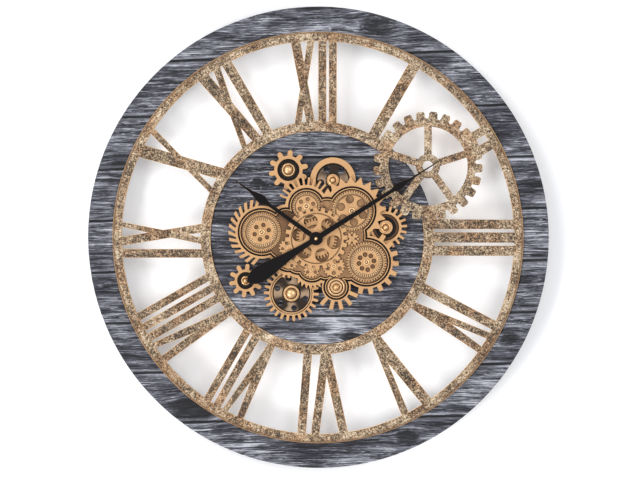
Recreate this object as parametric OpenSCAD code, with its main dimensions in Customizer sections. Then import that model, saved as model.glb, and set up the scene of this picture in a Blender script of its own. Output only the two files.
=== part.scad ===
// Round wall clock with an open dial, cut-out numerals and a group of turning gears.
// Every piece is drawn flat, with x to the right, y up the dial and z out from the wall,
// and stand() then turns it upright, so that the dial faces -Y and the wall is the plane y = 0.

/* [Boards] */
// Diameter of the wooden ring
clock_d = 610; // [560:5:700]
// Wood that shows outside the outer band
ring_face_w = 33.2; // [24:0.2:50]
// How far the ring reaches in behind the outer band
ring_lap = 11; // [4:0.1:11]
// Thickness of both boards
board_t = 8; // [6:0.5:12]
// How far the centre disc reaches out behind the inner band
disc_lap = 12.6; // [8:0.2:13]
// Width of the gaps between the planks
plank_gap_w = 2.2; // [1:0.1:4]
// Depth of the gaps between the planks
plank_gap_depth = 1.2; // [0.4:0.1:2]

/* [Dial sheet] */
// Thickness of the sheet
sheet_t = 2.5; // [1.5:0.1:3]
// Width of the outer band
outer_band_w = 12.1; // [10.2:0.1:18]
// Outer diameter of the inner band
inner_band_d = 308.6; // [300:0.2:340]
// Width of the inner band
inner_band_w = 13.1; // [12.4:0.1:20]

/* [Open gear in the dial] */
// Teeth of the open gear
open_teeth = 25; // [18:1:36]
// Room between its teeth and the outer band
open_room_out = 13.1; // [11:0.1:20]
// Room between its teeth and a circle round the hands through the right gear's arbor
open_room_in = 10.15; // [9.5:0.05:20]
// Height of its teeth
open_tooth_h = 9.5; // [6:0.1:12]
// Width of its rim inside the teeth
open_rim_w = 10.6; // [7:0.1:16]
// Diameter of its hub
open_hub_d = 32; // [24:0.5:44]
// Diameter of the hole in its hub
open_hole_d = 13.8; // [8:0.1:18]
// Spokes
open_spokes = 5; // [3:1:8]
// Width of a spoke
open_spoke_w = 9.8; // [6:0.1:14]
// Direction of its centre, from the right side upwards, in degrees
open_angle = 33; // [25:0.5:40]

/* [Gear train behind the disc] */
// Module of the train
train_m = 1.5; // [1.4:0.05:1.6]
// Play between meshing teeth
train_play = 0.5; // [0.4:0.05:0.8]
// Thickness of the train's gears
train_t = 4; // [3:0.1:4.8]
// Teeth of the drive wheel round the hands
drive_teeth = 88; // [80:1:96]
// Teeth of the motor's pinion
motor_teeth = 12; // [11:1:14]
// Teeth of the idler that reaches the bottom left gear
idler_teeth = 16; // [14:1:18]
// Teeth behind the top left gear
top_left_teeth = 42; // [38:1:44]
// Teeth behind the top wheel
top_teeth = 18; // [16:1:20]
// Teeth behind the right gear
right_teeth = 35; // [30:1:38]
// Teeth behind the bottom gear
bottom_teeth = 19; // [16:1:22]
// Teeth behind the bottom left gear
bottom_left_teeth = 27; // [25:1:30]
// Direction of the top left gear, in degrees
top_left_angle = 112.5; // [110:0.5:115]
// Direction of the top wheel, in degrees
top_angle = 74.4; // [72:0.1:77]
// Direction of the right gear, in degrees
right_angle = 9.1; // [7:0.1:11]
// Direction of the bottom gear, in degrees
bottom_angle = 245.4; // [243:0.1:248]
// Direction of the idler, in degrees
idler_angle = 206.5; // [205:0.1:208]
// Direction of the bottom left gear as seen from the idler, in degrees
bottom_left_angle = 221.6; // [218:0.1:225]
// Direction of the motor, in degrees
motor_angle = -45; // [-50:1:-40]
// Diameter of the arbors that carry the gears
arbor_d = 4; // [3.6:0.1:5]
// Free space round a turning shaft, on each side
running_gap = 0.05; // [0.03:0.01:0.08]

/* [Top left gear] */
// Diameter over its teeth
top_left_tip_d = 52.4; // [46:0.2:54]
// Height of its teeth
top_left_tooth_h = 7.3; // [5:0.1:8]
// Number of its teeth
top_left_fingers = 10; // [8:1:12]
// Width of a tooth
top_left_tooth_w = 6.6; // [5:0.1:7]
// Diameter of its hub
top_left_hub_d = 20.2; // [18:0.1:22]
// Diameter of its domed nut
top_left_nut_d = 13.6; // [10:0.1:16]

/* [Top wheel] */
// Diameter of its smooth rim
top_rim_d = 60; // [54:0.5:62]
// Width of its rim
top_rim_w = 7.4; // [5:0.1:9]
// Diameter of its hub
top_hub_d = 16.2; // [14:0.1:18]
// Diameter of its domed nut
top_nut_d = 8.2; // [7.4:0.1:10]
// Diameter of the holes in its web
top_hole_d = 8.8; // [6:0.1:10]

/* [Right gear] */
// Diameter over its teeth
right_tip_d = 56.2; // [50:0.2:58]
// Height of its teeth
right_tooth_h = 7.2; // [5:0.1:8]
// Number of its teeth
right_fingers = 20; // [16:1:24]
// Width of a tooth
right_tooth_w = 3.2; // [2.4:0.1:4]
// Diameter of its hub
right_hub_d = 18; // [15:0.1:20]
// Diameter of its domed nut
right_nut_d = 8.2; // [7.4:0.1:9]

/* [Bottom left gear] */
// Diameter over its teeth
bottom_left_tip_d = 44.8; // [40:0.2:47]
// Height of its teeth
bottom_left_tooth_h = 7.6; // [5:0.1:8]
// Number of its teeth
bottom_left_fingers = 10; // [8:1:12]
// Width of a tooth
bottom_left_tooth_w = 5.6; // [4:0.1:6]
// Diameter of its hub
bottom_left_hub_d = 12; // [10.5:0.1:13]
// Diameter of its domed nut
bottom_left_nut_d = 7.6; // [7:0.1:9]

/* [Bottom gear] */
// Diameter over its teeth
bottom_tip_d = 73.4; // [66:0.2:75]
// Height of its teeth
bottom_tooth_h = 7.2; // [5:0.1:8]
// Number of its teeth
bottom_fingers = 26; // [22:1:30]
// Width of a tooth
bottom_tooth_w = 3.6; // [2.6:0.1:4]
// Diameter of its hub
bottom_hub_d = 21.2; // [18:0.1:23]
// Diameter of its domed nut
bottom_nut_d = 15.6; // [12:0.1:17]
// Diameter of the holes in its web
bottom_hole_d = 7.6; // [5:0.1:8]
// Number of holes in its web
bottom_holes = 6; // [4:1:7]

/* [Show gears together] */
// Thickness of the gears in front of the disc
show_t = 3; // [2:0.1:4]
// Depth of their sunk webs
show_sink = 1.2; // [0.6:0.1:1.4]
// Height of their hubs above the rim
show_hub_h = 0.5; // [0.3:0.1:0.7]
// Space between the layers in front of the disc
layer_gap = 0.9; // [0.8:0.1:1.5]
// Height of the domes on the nuts
dome_h = 4.4; // [3:0.1:4.6]
// Teeth of the gear seen through the windows
window_teeth = 38; // [30:1:44]
// Diameter over the teeth of the gear seen through the windows
window_tip_d = 54.2; // [50:0.2:58]

/* [Gear cover] */
// Width of the cover from its left teeth to its right ones
cover_w = 225; // [215:1:230]
// Thickness of the cover's plate
cover_t = 3; // [2.4:0.1:4]
// Depth of the groove along its edge
cover_groove = 1.1; // [0.6:0.1:1.6]
// Height of the lip inside the groove
cover_lip_h = 0.8; // [0.4:0.1:1.2]
// Height of the small gears cast on the cover
cover_relief_h = 1; // [0.5:0.1:1.2]
// Height of the large gear cast round the hands
cover_crown_h = 2; // [1.5:0.1:2.4]

/* [Hands] */
// Length of the minute hand, from the axis to its tip
minute_len = 201.8; // [170:0.2:230]
// Length of the minute hand's tail
minute_tail = 107.5; // [80:0.5:120]
// Width of the tail's leaf
minute_leaf_w = 22.5; // [14:0.5:26]
// Length of the hour hand, from the axis to its tip
hour_len = 134.5; // [100:0.5:150]
// Width of the hour hand's blade
hour_blade_w = 11.9; // [8:0.1:16]
// Width of the minute hand's blade
minute_blade_w = 9.6; // [7:0.1:14]
// Width of a hand's arm where it leaves the hub
arm_w = 7.4; // [5:0.1:9]
// Thickness of the hands
hand_t = 1; // [0.8:0.1:1.5]
// Diameter of the hands' hubs
hand_hub_d = 17.8; // [16.4:0.2:22]
// Direction of the minute hand, in degrees
minute_angle = 32.3; // [0:0.1:359]
// Direction of the hour hand, in degrees
hour_angle = 144.4; // [0:0.1:359]

/* [Movement] */
// Side of the square case
case_w = 56; // [55:0.5:64]
// Thickness of the case with its lid
case_t = 17; // [16.8:0.1:20]
// Wall of the case
case_wall = 1.6; // [1.2:0.1:1.7]
// Thickness of the lid
lid_t = 1.2; // [1:0.1:1.6]
// Diameter of the threaded neck
neck_d = 8; // [7.6:0.1:9]
// Diameter of the tube that carries the hour hand
hour_tube_d = 5; // [4.6:0.1:5.6]
// Diameter of the shaft that carries the minute hand
minute_shaft_d = 3; // [2.6:0.1:3.4]
// Module of the motion work
motion_m = 0.35; // [0.33:0.01:0.36]
// Play between the teeth of the motion work
motion_play = 0.16; // [0.12:0.01:0.2]
// Diameter of the setting knob
knob_d = 12.8; // [10:0.1:14]
// Height of the setting knob
knob_h = 2.4; // [1.6:0.1:2.6]

/* [Power] */
// Diameter of a cell
cell_d = 14.5; // [14:0.1:14.5]
// Length of a cell with its nub
cell_len = 50.5; // [48:0.1:51]
// Diameter of the motor's can
motor_d = 24; // [20:0.5:28]
// Length of the motor's can
motor_len = 14; // [10:0.5:15]
// Wall of the battery box
box_wall = 1.4; // [1.2:0.1:2]
// Height of the battery box's middle below the hands
box_drop = 62; // [58:0.5:72]
// Thickness of the battery door
door_t = 1.2; // [1:0.1:1.5]
// Travel of the switch to each side
switch_travel = 1.5; // [1:0.1:2]

/* [Wall fixings] */
// Diameter of the wall spacers
spacer_d = 18; // [12:0.5:24]
// Number of wall spacers
spacers = 4; // [3:1:6]
// Width of the hanging plate
hanger_w = 44; // [38:1:60]
// Height of the hanging plate
hanger_h = 16; // [15:0.5:20]
// Thickness of the hanging plate
hanger_t = 2; // [1.5:0.1:3]
// Diameter of the hole for the nail
hanger_hole_d = 8; // [6:0.1:9]
// Diameter of the small screws
screw_d = 3.2; // [2.8:0.1:3.6]

/* [Hidden] */
$fn = 144;

// Overrun of every cut
cut = 1;
// Steps in the round end of a tooth
round_steps = 6;

// Radii of the dial
clock_r = clock_d / 2;
outer_band_r = clock_r - ring_face_w;
field_r = outer_band_r - outer_band_w;
ring_hole_r = outer_band_r - ring_lap;
inner_band_r = inner_band_d / 2;
inner_edge_r = inner_band_r - inner_band_w;
disc_r = inner_edge_r + disc_lap;
numeral_h = field_r - inner_band_r;
// Heights of the gaps between the planks, as shares of the clock's radius
ring_gap_shares = [0.787, 0.550, 0.325, 0.102, -0.123, -0.346, -0.566, -0.787];
disc_gap_shares = [0.350, 0.118, -0.112, -0.338];
ring_gap_tilt = 1.8;

// Tooth form of the train: widths as shares of one pitch, heights as shares of the module
root_width_share = 0.62;
pitch_width_share = 0.5;
tip_width_share = 0.24;
addendum_share = 0.95;
dedendum_share = 1.25;
function tip_radius(n) = (n / 2 + addendum_share) * train_m;

// Gearbox, from the movement's lid to the disc
plate_t = 1.5;
train_float = 0.75;
box_wall_t = 2;
box_clear = 1;
flange_w = 7;
flange_t = 1.6;
sleeve_wall = 3;
shaft_gap = 0.8;

// Heights above the wall
plate_z = case_t;
train_space_z = plate_z + plate_t;
train_z = train_space_z + train_float;
front_plate_z = train_z + train_t + train_float;
board_z = front_plate_z + plate_t;
disc_face_z = board_z + board_t;
sheet_face_z = disc_face_z + sheet_t;
show_z = sheet_face_z + layer_gap;
show_face_z = show_z + show_t;
cover_z = show_face_z + layer_gap;
cover_face_z = cover_z + cover_t;
crown_z = cover_face_z + cover_crown_h;
clamp_t = 1.8;
clamp_gap = 0.4;
hand_gap = 1.4;
hour_z = crown_z + clamp_t + clamp_gap;
minute_z = hour_z + hand_t + hand_gap;

// Centres of the train
function polar(r, a) = [r * cos(a), r * sin(a)];
function spread(n_a, n_b) = (n_a + n_b) * train_m / 2;
motor_at = polar(spread(drive_teeth, motor_teeth), motor_angle);
idler_at = polar(spread(drive_teeth, idler_teeth), idler_angle);
top_left_at = polar(spread(drive_teeth, top_left_teeth), top_left_angle);
top_at = polar(spread(drive_teeth, top_teeth), top_angle);
right_at = polar(spread(drive_teeth, right_teeth), right_angle);
bottom_at = polar(spread(drive_teeth, bottom_teeth), bottom_angle);
bottom_left_at = idler_at + polar(spread(idler_teeth, bottom_left_teeth), bottom_left_angle);
arbor_places = [top_left_at, top_at, right_at, bottom_at, bottom_left_at];
nut_widths = [top_left_nut_d, top_nut_d, right_nut_d, bottom_nut_d, bottom_left_nut_d];
arbor_r = arbor_d / 2;
train_reach = max(
    norm(top_left_at) + tip_radius(top_left_teeth),
    norm(top_at) + tip_radius(top_teeth),
    norm(right_at) + tip_radius(right_teeth),
    norm(bottom_at) + tip_radius(bottom_teeth),
    norm(bottom_left_at) + tip_radius(bottom_left_teeth)
);
gearbox_r = train_reach + box_clear + box_wall_t;
flange_r = gearbox_r + flange_w;
gearbox_screws = 6;
gearbox_screw_turn = 40;
neck_r = neck_d / 2;
sleeve_r = neck_r + running_gap + sleeve_wall;

// The open gear fills the room between the right gear's arbor and the outer band
open_tip_r = (field_r - open_room_out - norm(right_at) - open_room_in) / 2;
open_centre = polar(field_r - open_room_out - open_tip_r, open_angle);
open_root_r = open_tip_r - open_tooth_h;
open_window_r = open_root_r - open_rim_w;
open_turn = 84.1;
// Its rounded teeth: height as a share of the tooth, then width as a share of one pitch
open_tooth_shares = [[0, 0.86], [0.12, 0.74], [0.35, 0.68], [0.7, 0.63], [0.9, 0.51], [0.97, 0.38]];
// Width of the sheet that stays whole between its teeth, outside the inner band
open_fill_w = 6;

// How far a gear is turned so that it meshes with the one that drives it
function mesh_turn(towards, n_from, turn_from, n_to) =
    towards + 180 + 180 / n_to - (turn_from - towards) * n_from / n_to;
drive_turn = 0;
idler_turn = mesh_turn(idler_angle, drive_teeth, drive_turn, idler_teeth);

// Outline of a gear with straight flanks: widths are shares of one pitch, lean moves the tips round
function gear_points(teeth, root_r, tip_r, root_share, tip_share, turn = 0, lean = 0) =
    let (pitch = 360 / teeth)
    [for (i = [0:teeth - 1])
        let (mid = turn + i * pitch)
        each [
            polar(root_r, mid - root_share * pitch / 2),
            polar(tip_r, mid + lean - tip_share * pitch / 2),
            polar(tip_r, mid + lean + tip_share * pitch / 2),
            polar(root_r, mid + root_share * pitch / 2)
        ]];

// Outline of a gear whose teeth follow a table of heights and widths
function bump_points(teeth, root_r, tooth_h, shares, turn) =
    let (pitch = 360 / teeth, last = len(shares) - 1)
    [for (i = [0:teeth - 1])
        let (mid = turn + i * pitch)
        each concat(
            [for (s = shares) polar(root_r + s[0] * tooth_h, mid - s[1] * pitch / 2)],
            [for (k = [0:last])
                let (s = shares[last - k])
                polar(root_r + s[0] * tooth_h, mid + s[1] * pitch / 2)]
        )];

// Outline of a meshing gear: each flank bends at the pitch circle and play thins the tooth
function mesh_points(teeth, size_m, play, turn) =
    let (
        pitch = 360 / teeth,
        pitch_r = teeth * size_m / 2,
        slack = play / pitch_r * 90 / PI,
        root_a = root_width_share * pitch / 2 - slack,
        pitch_a = pitch_width_share * pitch / 2 - slack,
        tip_a = tip_width_share * pitch / 2 - slack / 2,
        root_r = pitch_r - dedendum_share * size_m,
        tip_r = pitch_r + addendum_share * size_m
    )
    [for (i = [0:teeth - 1])
        let (mid = turn + i * pitch)
        each [
            polar(root_r, mid - root_a), polar(pitch_r, mid - pitch_a), polar(tip_r, mid - tip_a),
            polar(tip_r, mid + tip_a), polar(pitch_r, mid + pitch_a), polar(root_r, mid + root_a)
        ]];

// Outline of a gear with parallel teeth, round at the end or square
function finger_points(teeth, root_r, tip_r, tooth_w, round_end, turn = 0) =
    let (
        half = tooth_w / 2,
        foot_y = sqrt(root_r * root_r - half * half),
        end_y = tip_r - half,
        ends = round_end
            ? [for (s = [0:round_steps]) let (a = s * 180 / round_steps)
                [half * cos(a), end_y + half * sin(a)]]
            : [[half, tip_r], [-half, tip_r]],
        tooth = concat([[half, foot_y]], ends, [[-half, foot_y]])
    )
    [for (i = [0:teeth - 1])
        let (mid = turn + i * 360 / teeth)
        each [for (p = tooth) [p.x * sin(mid) + p.y * cos(mid), p.y * sin(mid) - p.x * cos(mid)]]];

// A row of teeth along part of a round edge, closed through the middle of the circle
function edge_points(middle, root_r, tip_r, first, pitch, count, root_share, tip_share, lean) =
    concat(
        [middle],
        [for (i = [0:count - 1])
            let (mid = first + i * pitch)
            each [
                middle + polar(root_r, mid - root_share * pitch / 2),
                middle + polar(tip_r, mid + lean - tip_share * pitch / 2),
                middle + polar(tip_r, mid + lean + tip_share * pitch / 2),
                middle + polar(root_r, mid + root_share * pitch / 2)
            ]]
    );

// Numeral strokes: left and right edge at the outer band, then at the inner band,
// as shares of the numeral's height, seen with the numeral's feet towards the middle
stroke_shares = [
    [[-0.097, 0.046, -0.097, 0.046]],
    [[-0.182, -0.073, -0.182, -0.073], [0.009, 0.135, 0.009, 0.135]],
    [[-0.234, -0.118, -0.234, -0.118], [-0.077, 0.052, -0.077, 0.052], [0.089, 0.215, 0.089, 0.215]],
    [[-0.228, -0.110, -0.190, -0.064], [-0.065, 0.226, 0.077, 0.169]],
    [[-0.241, 0.190, -0.078, 0.044]],
    [[-0.399, 0.077, -0.178, -0.050], [0.138, 0.247, 0.062, 0.170]],
    [[-0.340, -0.046, -0.227, -0.135], [-0.018, 0.083, -0.011, 0.094], [0.128, 0.228, 0.128, 0.228]],
    [[-0.413, -0.108, -0.310, -0.204], [-0.083, 0.021, -0.083, 0.021], [0.064, 0.165, 0.064, 0.165],
        [0.210, 0.310, 0.210, 0.310]],
    [[-0.252, -0.141, -0.252, -0.141], [-0.104, 0.012, 0.067, 0.178], [0.138, 0.201, -0.077, 0.008]],
    [[-0.247, -0.079, 0.017, 0.172], [0.088, 0.168, -0.182, -0.107]],
    [[-0.307, -0.156, -0.095, 0.028], [-0.074, 0.021, -0.250, -0.180], [0.048, 0.180, 0.062, 0.186]],
    [[-0.330, -0.210, -0.134, -0.023], [-0.117, -0.030, -0.276, -0.195], [0.018, 0.119, 0.018, 0.119],
        [0.150, 0.249, 0.150, 0.249]]
];
// The wedge cut out of a V: left and right edge at the outer band, then the point and its height
notch_shares = [
    [], [], [],
    [0.020, 0.139, 0.085, 0.533],
    [-0.106, 0.095, 0.008, 0.350],
    [-0.286, -0.030, -0.123, 0.270],
    [-0.253, -0.114, -0.180, 0.520],
    [-0.311, -0.181, -0.256, 0.520],
    [], [], [], []
];
// The strip from one edge of numeral II to the other, which stays whole between the open gear's teeth
open_strip_shares = [
    stroke_shares[1][0][0], stroke_shares[1][1][1],
    stroke_shares[1][0][2], stroke_shares[1][1][3]
];
// How far a stroke runs on past both bands before it is trimmed to them
stroke_run_share = 0.1;

// Round fields of the cover: middle, radius of the groove and width of the edge outside it,
// as shares of the cover's width
field_shares = [
    [-0.321, 0.036, 0.142, 0.013], [-0.058, 0.188, 0.108, 0.017], [0.208, 0.162, 0.144, 0.021],
    [0.293, -0.138, 0.144, 0.011], [0.116, -0.285, 0.076, 0.008], [0.062, 0.160, 0.084, 0.016],
    [-0.178, 0.098, 0.084, 0.016], [-0.164, -0.111, 0.089, 0.016], [-0.107, -0.133, 0.082, 0.016],
    [-0.027, -0.169, 0.091, 0.016], [0.133, -0.133, 0.120, 0.016], [0.130, 0.013, 0.168, 0.014],
    [0, 0, 0.196, 0.010], [-0.187, -0.018, 0.116, 0.012], [0.053, -0.187, 0.062, 0.016],
    [0.187, -0.187, 0.065, 0.016]
];
// Rows of teeth round the cover: which field, then the first tooth, the step between teeth and
// their number, the radius of the tips as a share of the cover's width, the widths at root and tip
// as shares of the step, and the lean of the tips
tooth_rows_shares = [
    [0, 102.5, 12.2, 14, 0.197, 0.62, 0.48, -7.5],
    [1, 48.8, 12.05, 10, 0.169, 0.46, 0.36, 0],
    [2, -31.5, 17.7, 10, 0.200, 0.90, 0.06, 0],
    [3, -101.5, 19.8, 9, 0.189, 0.56, 0.38, 0],
    [4, -130.5, 27, 5, 0.135, 0.56, 0.36, 0],
    [7, 196, 15, 7, 0.122, 0.56, 0.40, 0],
    [9, 226, 13, 6, 0.126, 0.90, 0.16, 3],
    [5, 88, 30, 1, 0.131, 0.90, 0.08, 0]
];
// Widths of the edge's groove, of the raised lip inside it and of the shallow groove inside that,
// as shares of the cover's width
groove_w_share = 0.0115;
lip_w_share = 0.005;
second_w_share = 0.006;
// Depth of the shallow groove as a share of the other's
second_depth_share = 0.6;

// Gears cast in relief: middle, tip radius and tooth height as shares of the cover's width,
// number of teeth, then the hole circle, hole radius and boss radius as shares of the tip radius,
// the number of holes and their turn
relief_shares = [
    [-0.321, 0.036, 0.114, 0.009, 60, 0.38, 0.115, 0.16, 6, 16.5],
    [-0.058, 0.188, 0.081, 0.008, 36, 0.52, 0.15, 0.24, 6, 20],
    [0.208, 0.162, 0.117, 0.008, 48, 0.58, 0.205, 0.16, 6, 40],
    [0.293, -0.138, 0.117, 0.010, 44, 0.38, 0.12, 0.15, 8, 10],
    [0.208, -0.002, 0.041, 0.010, 12, 0.56, 0.18, 0.26, 4, 0],
    [0.102, -0.164, 0.064, 0.008, 20, 0.58, 0.19, 0.24, 5, 54],
    [-0.029, -0.184, 0.047, 0.009, 14, 0.55, 0.2, 0.24, 3, 90],
    [-0.159, -0.134, 0.053, 0.009, 16, 0.56, 0.18, 0.24, 4, 30],
    [-0.171, -0.056, 0.050, 0.009, 14, 0.56, 0.18, 0.24, 4, 10]
];
// The inner ring groove of the four large reliefs, as shares of their tip radius
relief_ring_shares = [0.84, 0.77];
large_reliefs = 4;
// The raised diamond between the top fields: its middle and side as shares of the cover's width,
// and its height as a share of the reliefs'
diamond_shares = [0.063, 0.198, 0.034];
diamond_h_share = 0.6;
relief_tooth_root_share = 0.7;
relief_tooth_tip_share = 0.4;

// The large gear cast round the hands, as shares of the cover's width
crown_tip_share = 0.183;
crown_root_share = 0.160;
crown_ring_shares = [0.150, 0.1425];
crown_tooth_root_share = 0.62;
crown_tooth_tip_share = 0.5;
crown_teeth = 24;
crown_turn = 2;
window_at_share = 0.1036;
window_r_share = 0.0413;
windows = 6;
window_turn = 48.5;

// Pillars behind the cover, as shares of its width
pillar_shares = [[-0.355, 0.05], [0.222, 0.243], [0.33, -0.20], [-0.145, 0.13], [0.125, -0.195]];
pillar_r = 3.2;
// Room that the cover leaves round the nuts of the gears behind it
nut_room = 0.25;

// Hands: distance along the hand and half width, as shares of its length and of its width there
minute_arm_shares = [[0.02, 0.5], [0.585, 0.33]];
minute_blade_shares = [[0.575, 0.25], [0.598, 0.31], [0.612, 0.46], [0.628, 0.5], [0.648, 0.47],
    [0.675, 0.36], [0.705, 0.22], [0.735, 0.135], [0.85, 0.10], [1, 0.045]];
leaf_shares = [[0.04, 0.14], [0.2, 0.17], [0.35, 0.23], [0.5, 0.32], [0.62, 0.41], [0.72, 0.475],
    [0.785, 0.5], [0.85, 0.475], [0.91, 0.4], [0.96, 0.26], [1, 0.03]];
hour_arm_shares = [[0.03, 0.46], [0.575, 0.32]];
hour_blade_shares = [[0.565, 0.20], [0.595, 0.27], [0.62, 0.42], [0.65, 0.5], [0.68, 0.47], [0.72, 0.35],
    [0.765, 0.22], [0.815, 0.13], [0.9, 0.09], [1, 0.045]];

// Movement
pocket_gap = 0.6;
floor_t = 1.2;
knob_r = knob_d / 2;
knob_z = 0.4;
knob_grips = 20;
knob_grip_share = 0.92;
knob_tooth_root_share = 0.6;
knob_tooth_tip_share = 0.5;
cavity_floor_z = knob_z + knob_h + pocket_gap + floor_t;
minute_pinion_teeth = 15;
motion_wheel_teeth = 45;
motion_pinion_teeth = 12;
hour_wheel_teeth = 48;
motion_at = [-(minute_pinion_teeth + motion_wheel_teeth) * motion_m / 2, 0];
motion_wheel_turn = mesh_turn(180, minute_pinion_teeth, 0, motion_wheel_teeth);
hour_wheel_turn = mesh_turn(0, motion_pinion_teeth, 0, hour_wheel_teeth);
motion_arbor_r = 1.2;
pivot_h = 0.9;
pivot_gap = 0.15;
hour_tube_r = hour_tube_d / 2;
minute_shaft_r = minute_shaft_d / 2;
lid_z = case_t - lid_t;
wheel_t = 2.4;
wheel_step = 1.1;
motion_z = cavity_floor_z + wheel_step;
hour_wheel_z = motion_z + wheel_t + wheel_step;
neck_top_z = crown_z + clamp_t;
clamp_flats = 13;
cap_r = 2.4;
cap_h = 1.6;
cap_thread_h = 1.5;

// Cells and their bays
cell_r = cell_d / 2;
cell_gap = 0.2;
nub_r = 2.75;
nub_h = 1.3;
bay_play = 0.7;
bay_w = cell_d + bay_play;
bay_len = case_w - 2 * case_wall;
bay_x = case_w / 2 - case_wall - bay_w / 2;
bay_roof_t = 0.4;
bay_top_z = lid_z - bay_roof_t;
cavity_right = bay_x - bay_w / 2 - case_wall;
box_inner_len = cell_len + 2 * bay_play;
box_inner_h = 2 * cell_d + bay_play;
door_z = 0.9;
door_gap = 0.1;
door_lap = 1;
door_w = box_inner_h + 2 * door_lap;
door_len = box_inner_len + box_wall;
door_grips = 4;
door_grip_w = 1.2;
door_grip_step = 3;
door_grip_depth = 0.4;
box_len = box_inner_len + 2 * box_wall;
box_h = door_w + 2 * door_gap + 2 * box_wall;
box_at = [0, -box_drop];
switch_w = 7;
switch_h = 14;
switch_t = 8;
switch_at = [(box_len + switch_w) / 2, -box_drop];
slider_w = 3.4;
slider_h = 4;
slider_out = 3;
slider_depth = 2.8;
slider_gap = 0.2;

// Motor
motor_shaft_r = 1;
motor_shaft_len = 8;

// Arbors, hubs and nuts in front of the disc
shaft_end = 0.2;
boss_wall = 2;
boss_gap = 0.6;
thread_h = 3;
thread_gap = 0.3;
nut_base_h = 1.6;
window_tooth_h = 3.9;
window_tooth_root_share = 0.6;
window_tooth_tip_share = 0.4;
window_sink_share = 0.78;
window_hub_share = 0.42;

nut_z = show_face_z + show_hub_h;

// Webs of the show gears, as shares of the radius inside their teeth
top_left_web_share = 0.775;
bottom_left_web_share = 0.77;
right_web_share = 0.84;
right_ring_shares = [0.80, 0.66];
right_ring_h_share = 0.6;
bottom_web_share = 0.942;
bottom_ring_shares = [0.90, 0.855];
bottom_hole_at_share = 0.665;
top_hole_at_share = 0.72;
top_holes = 5;
top_hole_turn = 48;
bottom_hole_turn = 40;

// How far each show gear stands turned, in degrees
top_left_turn = 84;
right_turn = 4;
bottom_turn = -1.5;
bottom_left_turn = 83;

// Nut in the bottom field of the cover
cover_nut_at = [field_shares[4].x, field_shares[4].y] * cover_w;
cover_nut_r = 4.4;
cover_washer_r = 7.8;
cover_washer_t = 0.8;
stud_r = 1.6;
stud_depth = 5;

// Wall fixings
hanger_y = (clock_r + ring_hole_r) / 2;
hanger_hole_r = hanger_hole_d / 2;
hanger_screw_share = 0.34;
hanger_screw_x = hanger_w * hanger_screw_share;
nail_pocket_play = 2;
nail_pocket_r = hanger_hole_r + nail_pocket_play;
nail_pocket_depth = 4;
screw_r = screw_d / 2;
screw_head_r = screw_d;
screw_head_h = 1.6;
screw_depth = 5;
spacer_turn = 45;

// Turns a piece that was drawn flat upright, with its front towards -Y
module stand() {
    rotate([90, 0, 0]) children();
}

// A flat shape made solid from height z up
module layer(z, h) {
    translate([0, 0, z]) linear_extrude(h) children();
}

module ring(outer_r, inner_r) {
    difference() {
        circle(outer_r);
        circle(inner_r);
    }
}

// A round hole or shaft at a place on the dial, from height z up
module rod(at, r, z, h) {
    translate([at.x, at.y, z]) cylinder(r = r, h = h);
}

// Copies round a circle
module around(count, turn = 0) {
    for (i = [0:count - 1]) rotate(turn + i * 360 / count) children();
}

// Gaps between the planks of a board, at shares of the clock's radius
module plank_gaps(shares, tilt) {
    layer(disc_face_z - plank_gap_depth, plank_gap_depth + cut)
        for (s = shares) translate([0, s * clock_r]) rotate(tilt) square([2 * clock_d, plank_gap_w], true);
}

module wood_ring() {
    color("slategray") stand() difference() {
        layer(board_z, board_t) ring(clock_r, ring_hole_r);
        plank_gaps(ring_gap_shares, ring_gap_tilt);
        rod([0, hanger_y], nail_pocket_r, board_z - cut, nail_pocket_depth + cut);
        for (side = [-1, 1])
            rod([side * hanger_screw_x, hanger_y], screw_r + running_gap,
                board_z - cut, screw_depth + 2 * cut);
    }
}

module centre_disc() {
    color("slategray") stand() difference() {
        layer(board_z, board_t) circle(disc_r);
        plank_gaps(disc_gap_shares, 0);
        rod([0, 0], sleeve_r + shaft_gap, board_z - cut, board_t + 2 * cut);
        for (at = arbor_places) rod(at, arbor_r + shaft_gap, board_z - cut, board_t + 2 * cut);
        gearbox_screw_places()
            rod([0, 0], screw_r + running_gap, board_z - cut, screw_depth + 2 * cut);
        rod(cover_nut_at, stud_r + running_gap, disc_face_z - stud_depth - pivot_gap, stud_depth + cut);
    }
}

module outer_band() {
    color("peru") stand() layer(disc_face_z, sheet_t) ring(outer_band_r, field_r);
}

module inner_band() {
    color("peru") stand() layer(disc_face_z, sheet_t) difference() {
        ring(inner_band_r, inner_edge_r);
        translate(open_centre) circle(open_tip_r);
    }
}

// The open gear with its teeth, and what stays whole between them: the inner band, a strip beside
// it and the foot of numeral II
module open_gear_outline() {
    translate(open_centre)
        polygon(bump_points(open_teeth, open_root_r, open_tooth_h, open_tooth_shares, open_turn));
    intersection() {
        translate(open_centre) circle(open_tip_r);
        union() {
            ring(inner_band_r + open_fill_w, inner_edge_r);
            rotate(-60) stroke(open_strip_shares);
        }
    }
}

module open_gear() {
    color("peru") stand() layer(disc_face_z, sheet_t) difference() {
        open_gear_outline();
        translate(open_centre) {
            circle(open_hole_d / 2);
            difference() {
                circle(open_window_r);
                circle(open_hub_d / 2);
                around(open_spokes, 90)
                    translate([0, -open_spoke_w / 2]) square([open_root_r, open_spoke_w]);
            }
        }
    }
}

// Distance across the numeral of an edge at a share t of the way out
function across(outer, inner, t) = (inner + (outer - inner) * t) * numeral_h;
function up(t) = inner_band_r + t * numeral_h;

module stroke(s) {
    low = -stroke_run_share;
    high = 1 + stroke_run_share;
    polygon([
        [across(s[0], s[2], low), up(low)], [across(s[1], s[3], low), up(low)],
        [across(s[1], s[3], high), up(high)], [across(s[0], s[2], high), up(high)]
    ]);
}

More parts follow.
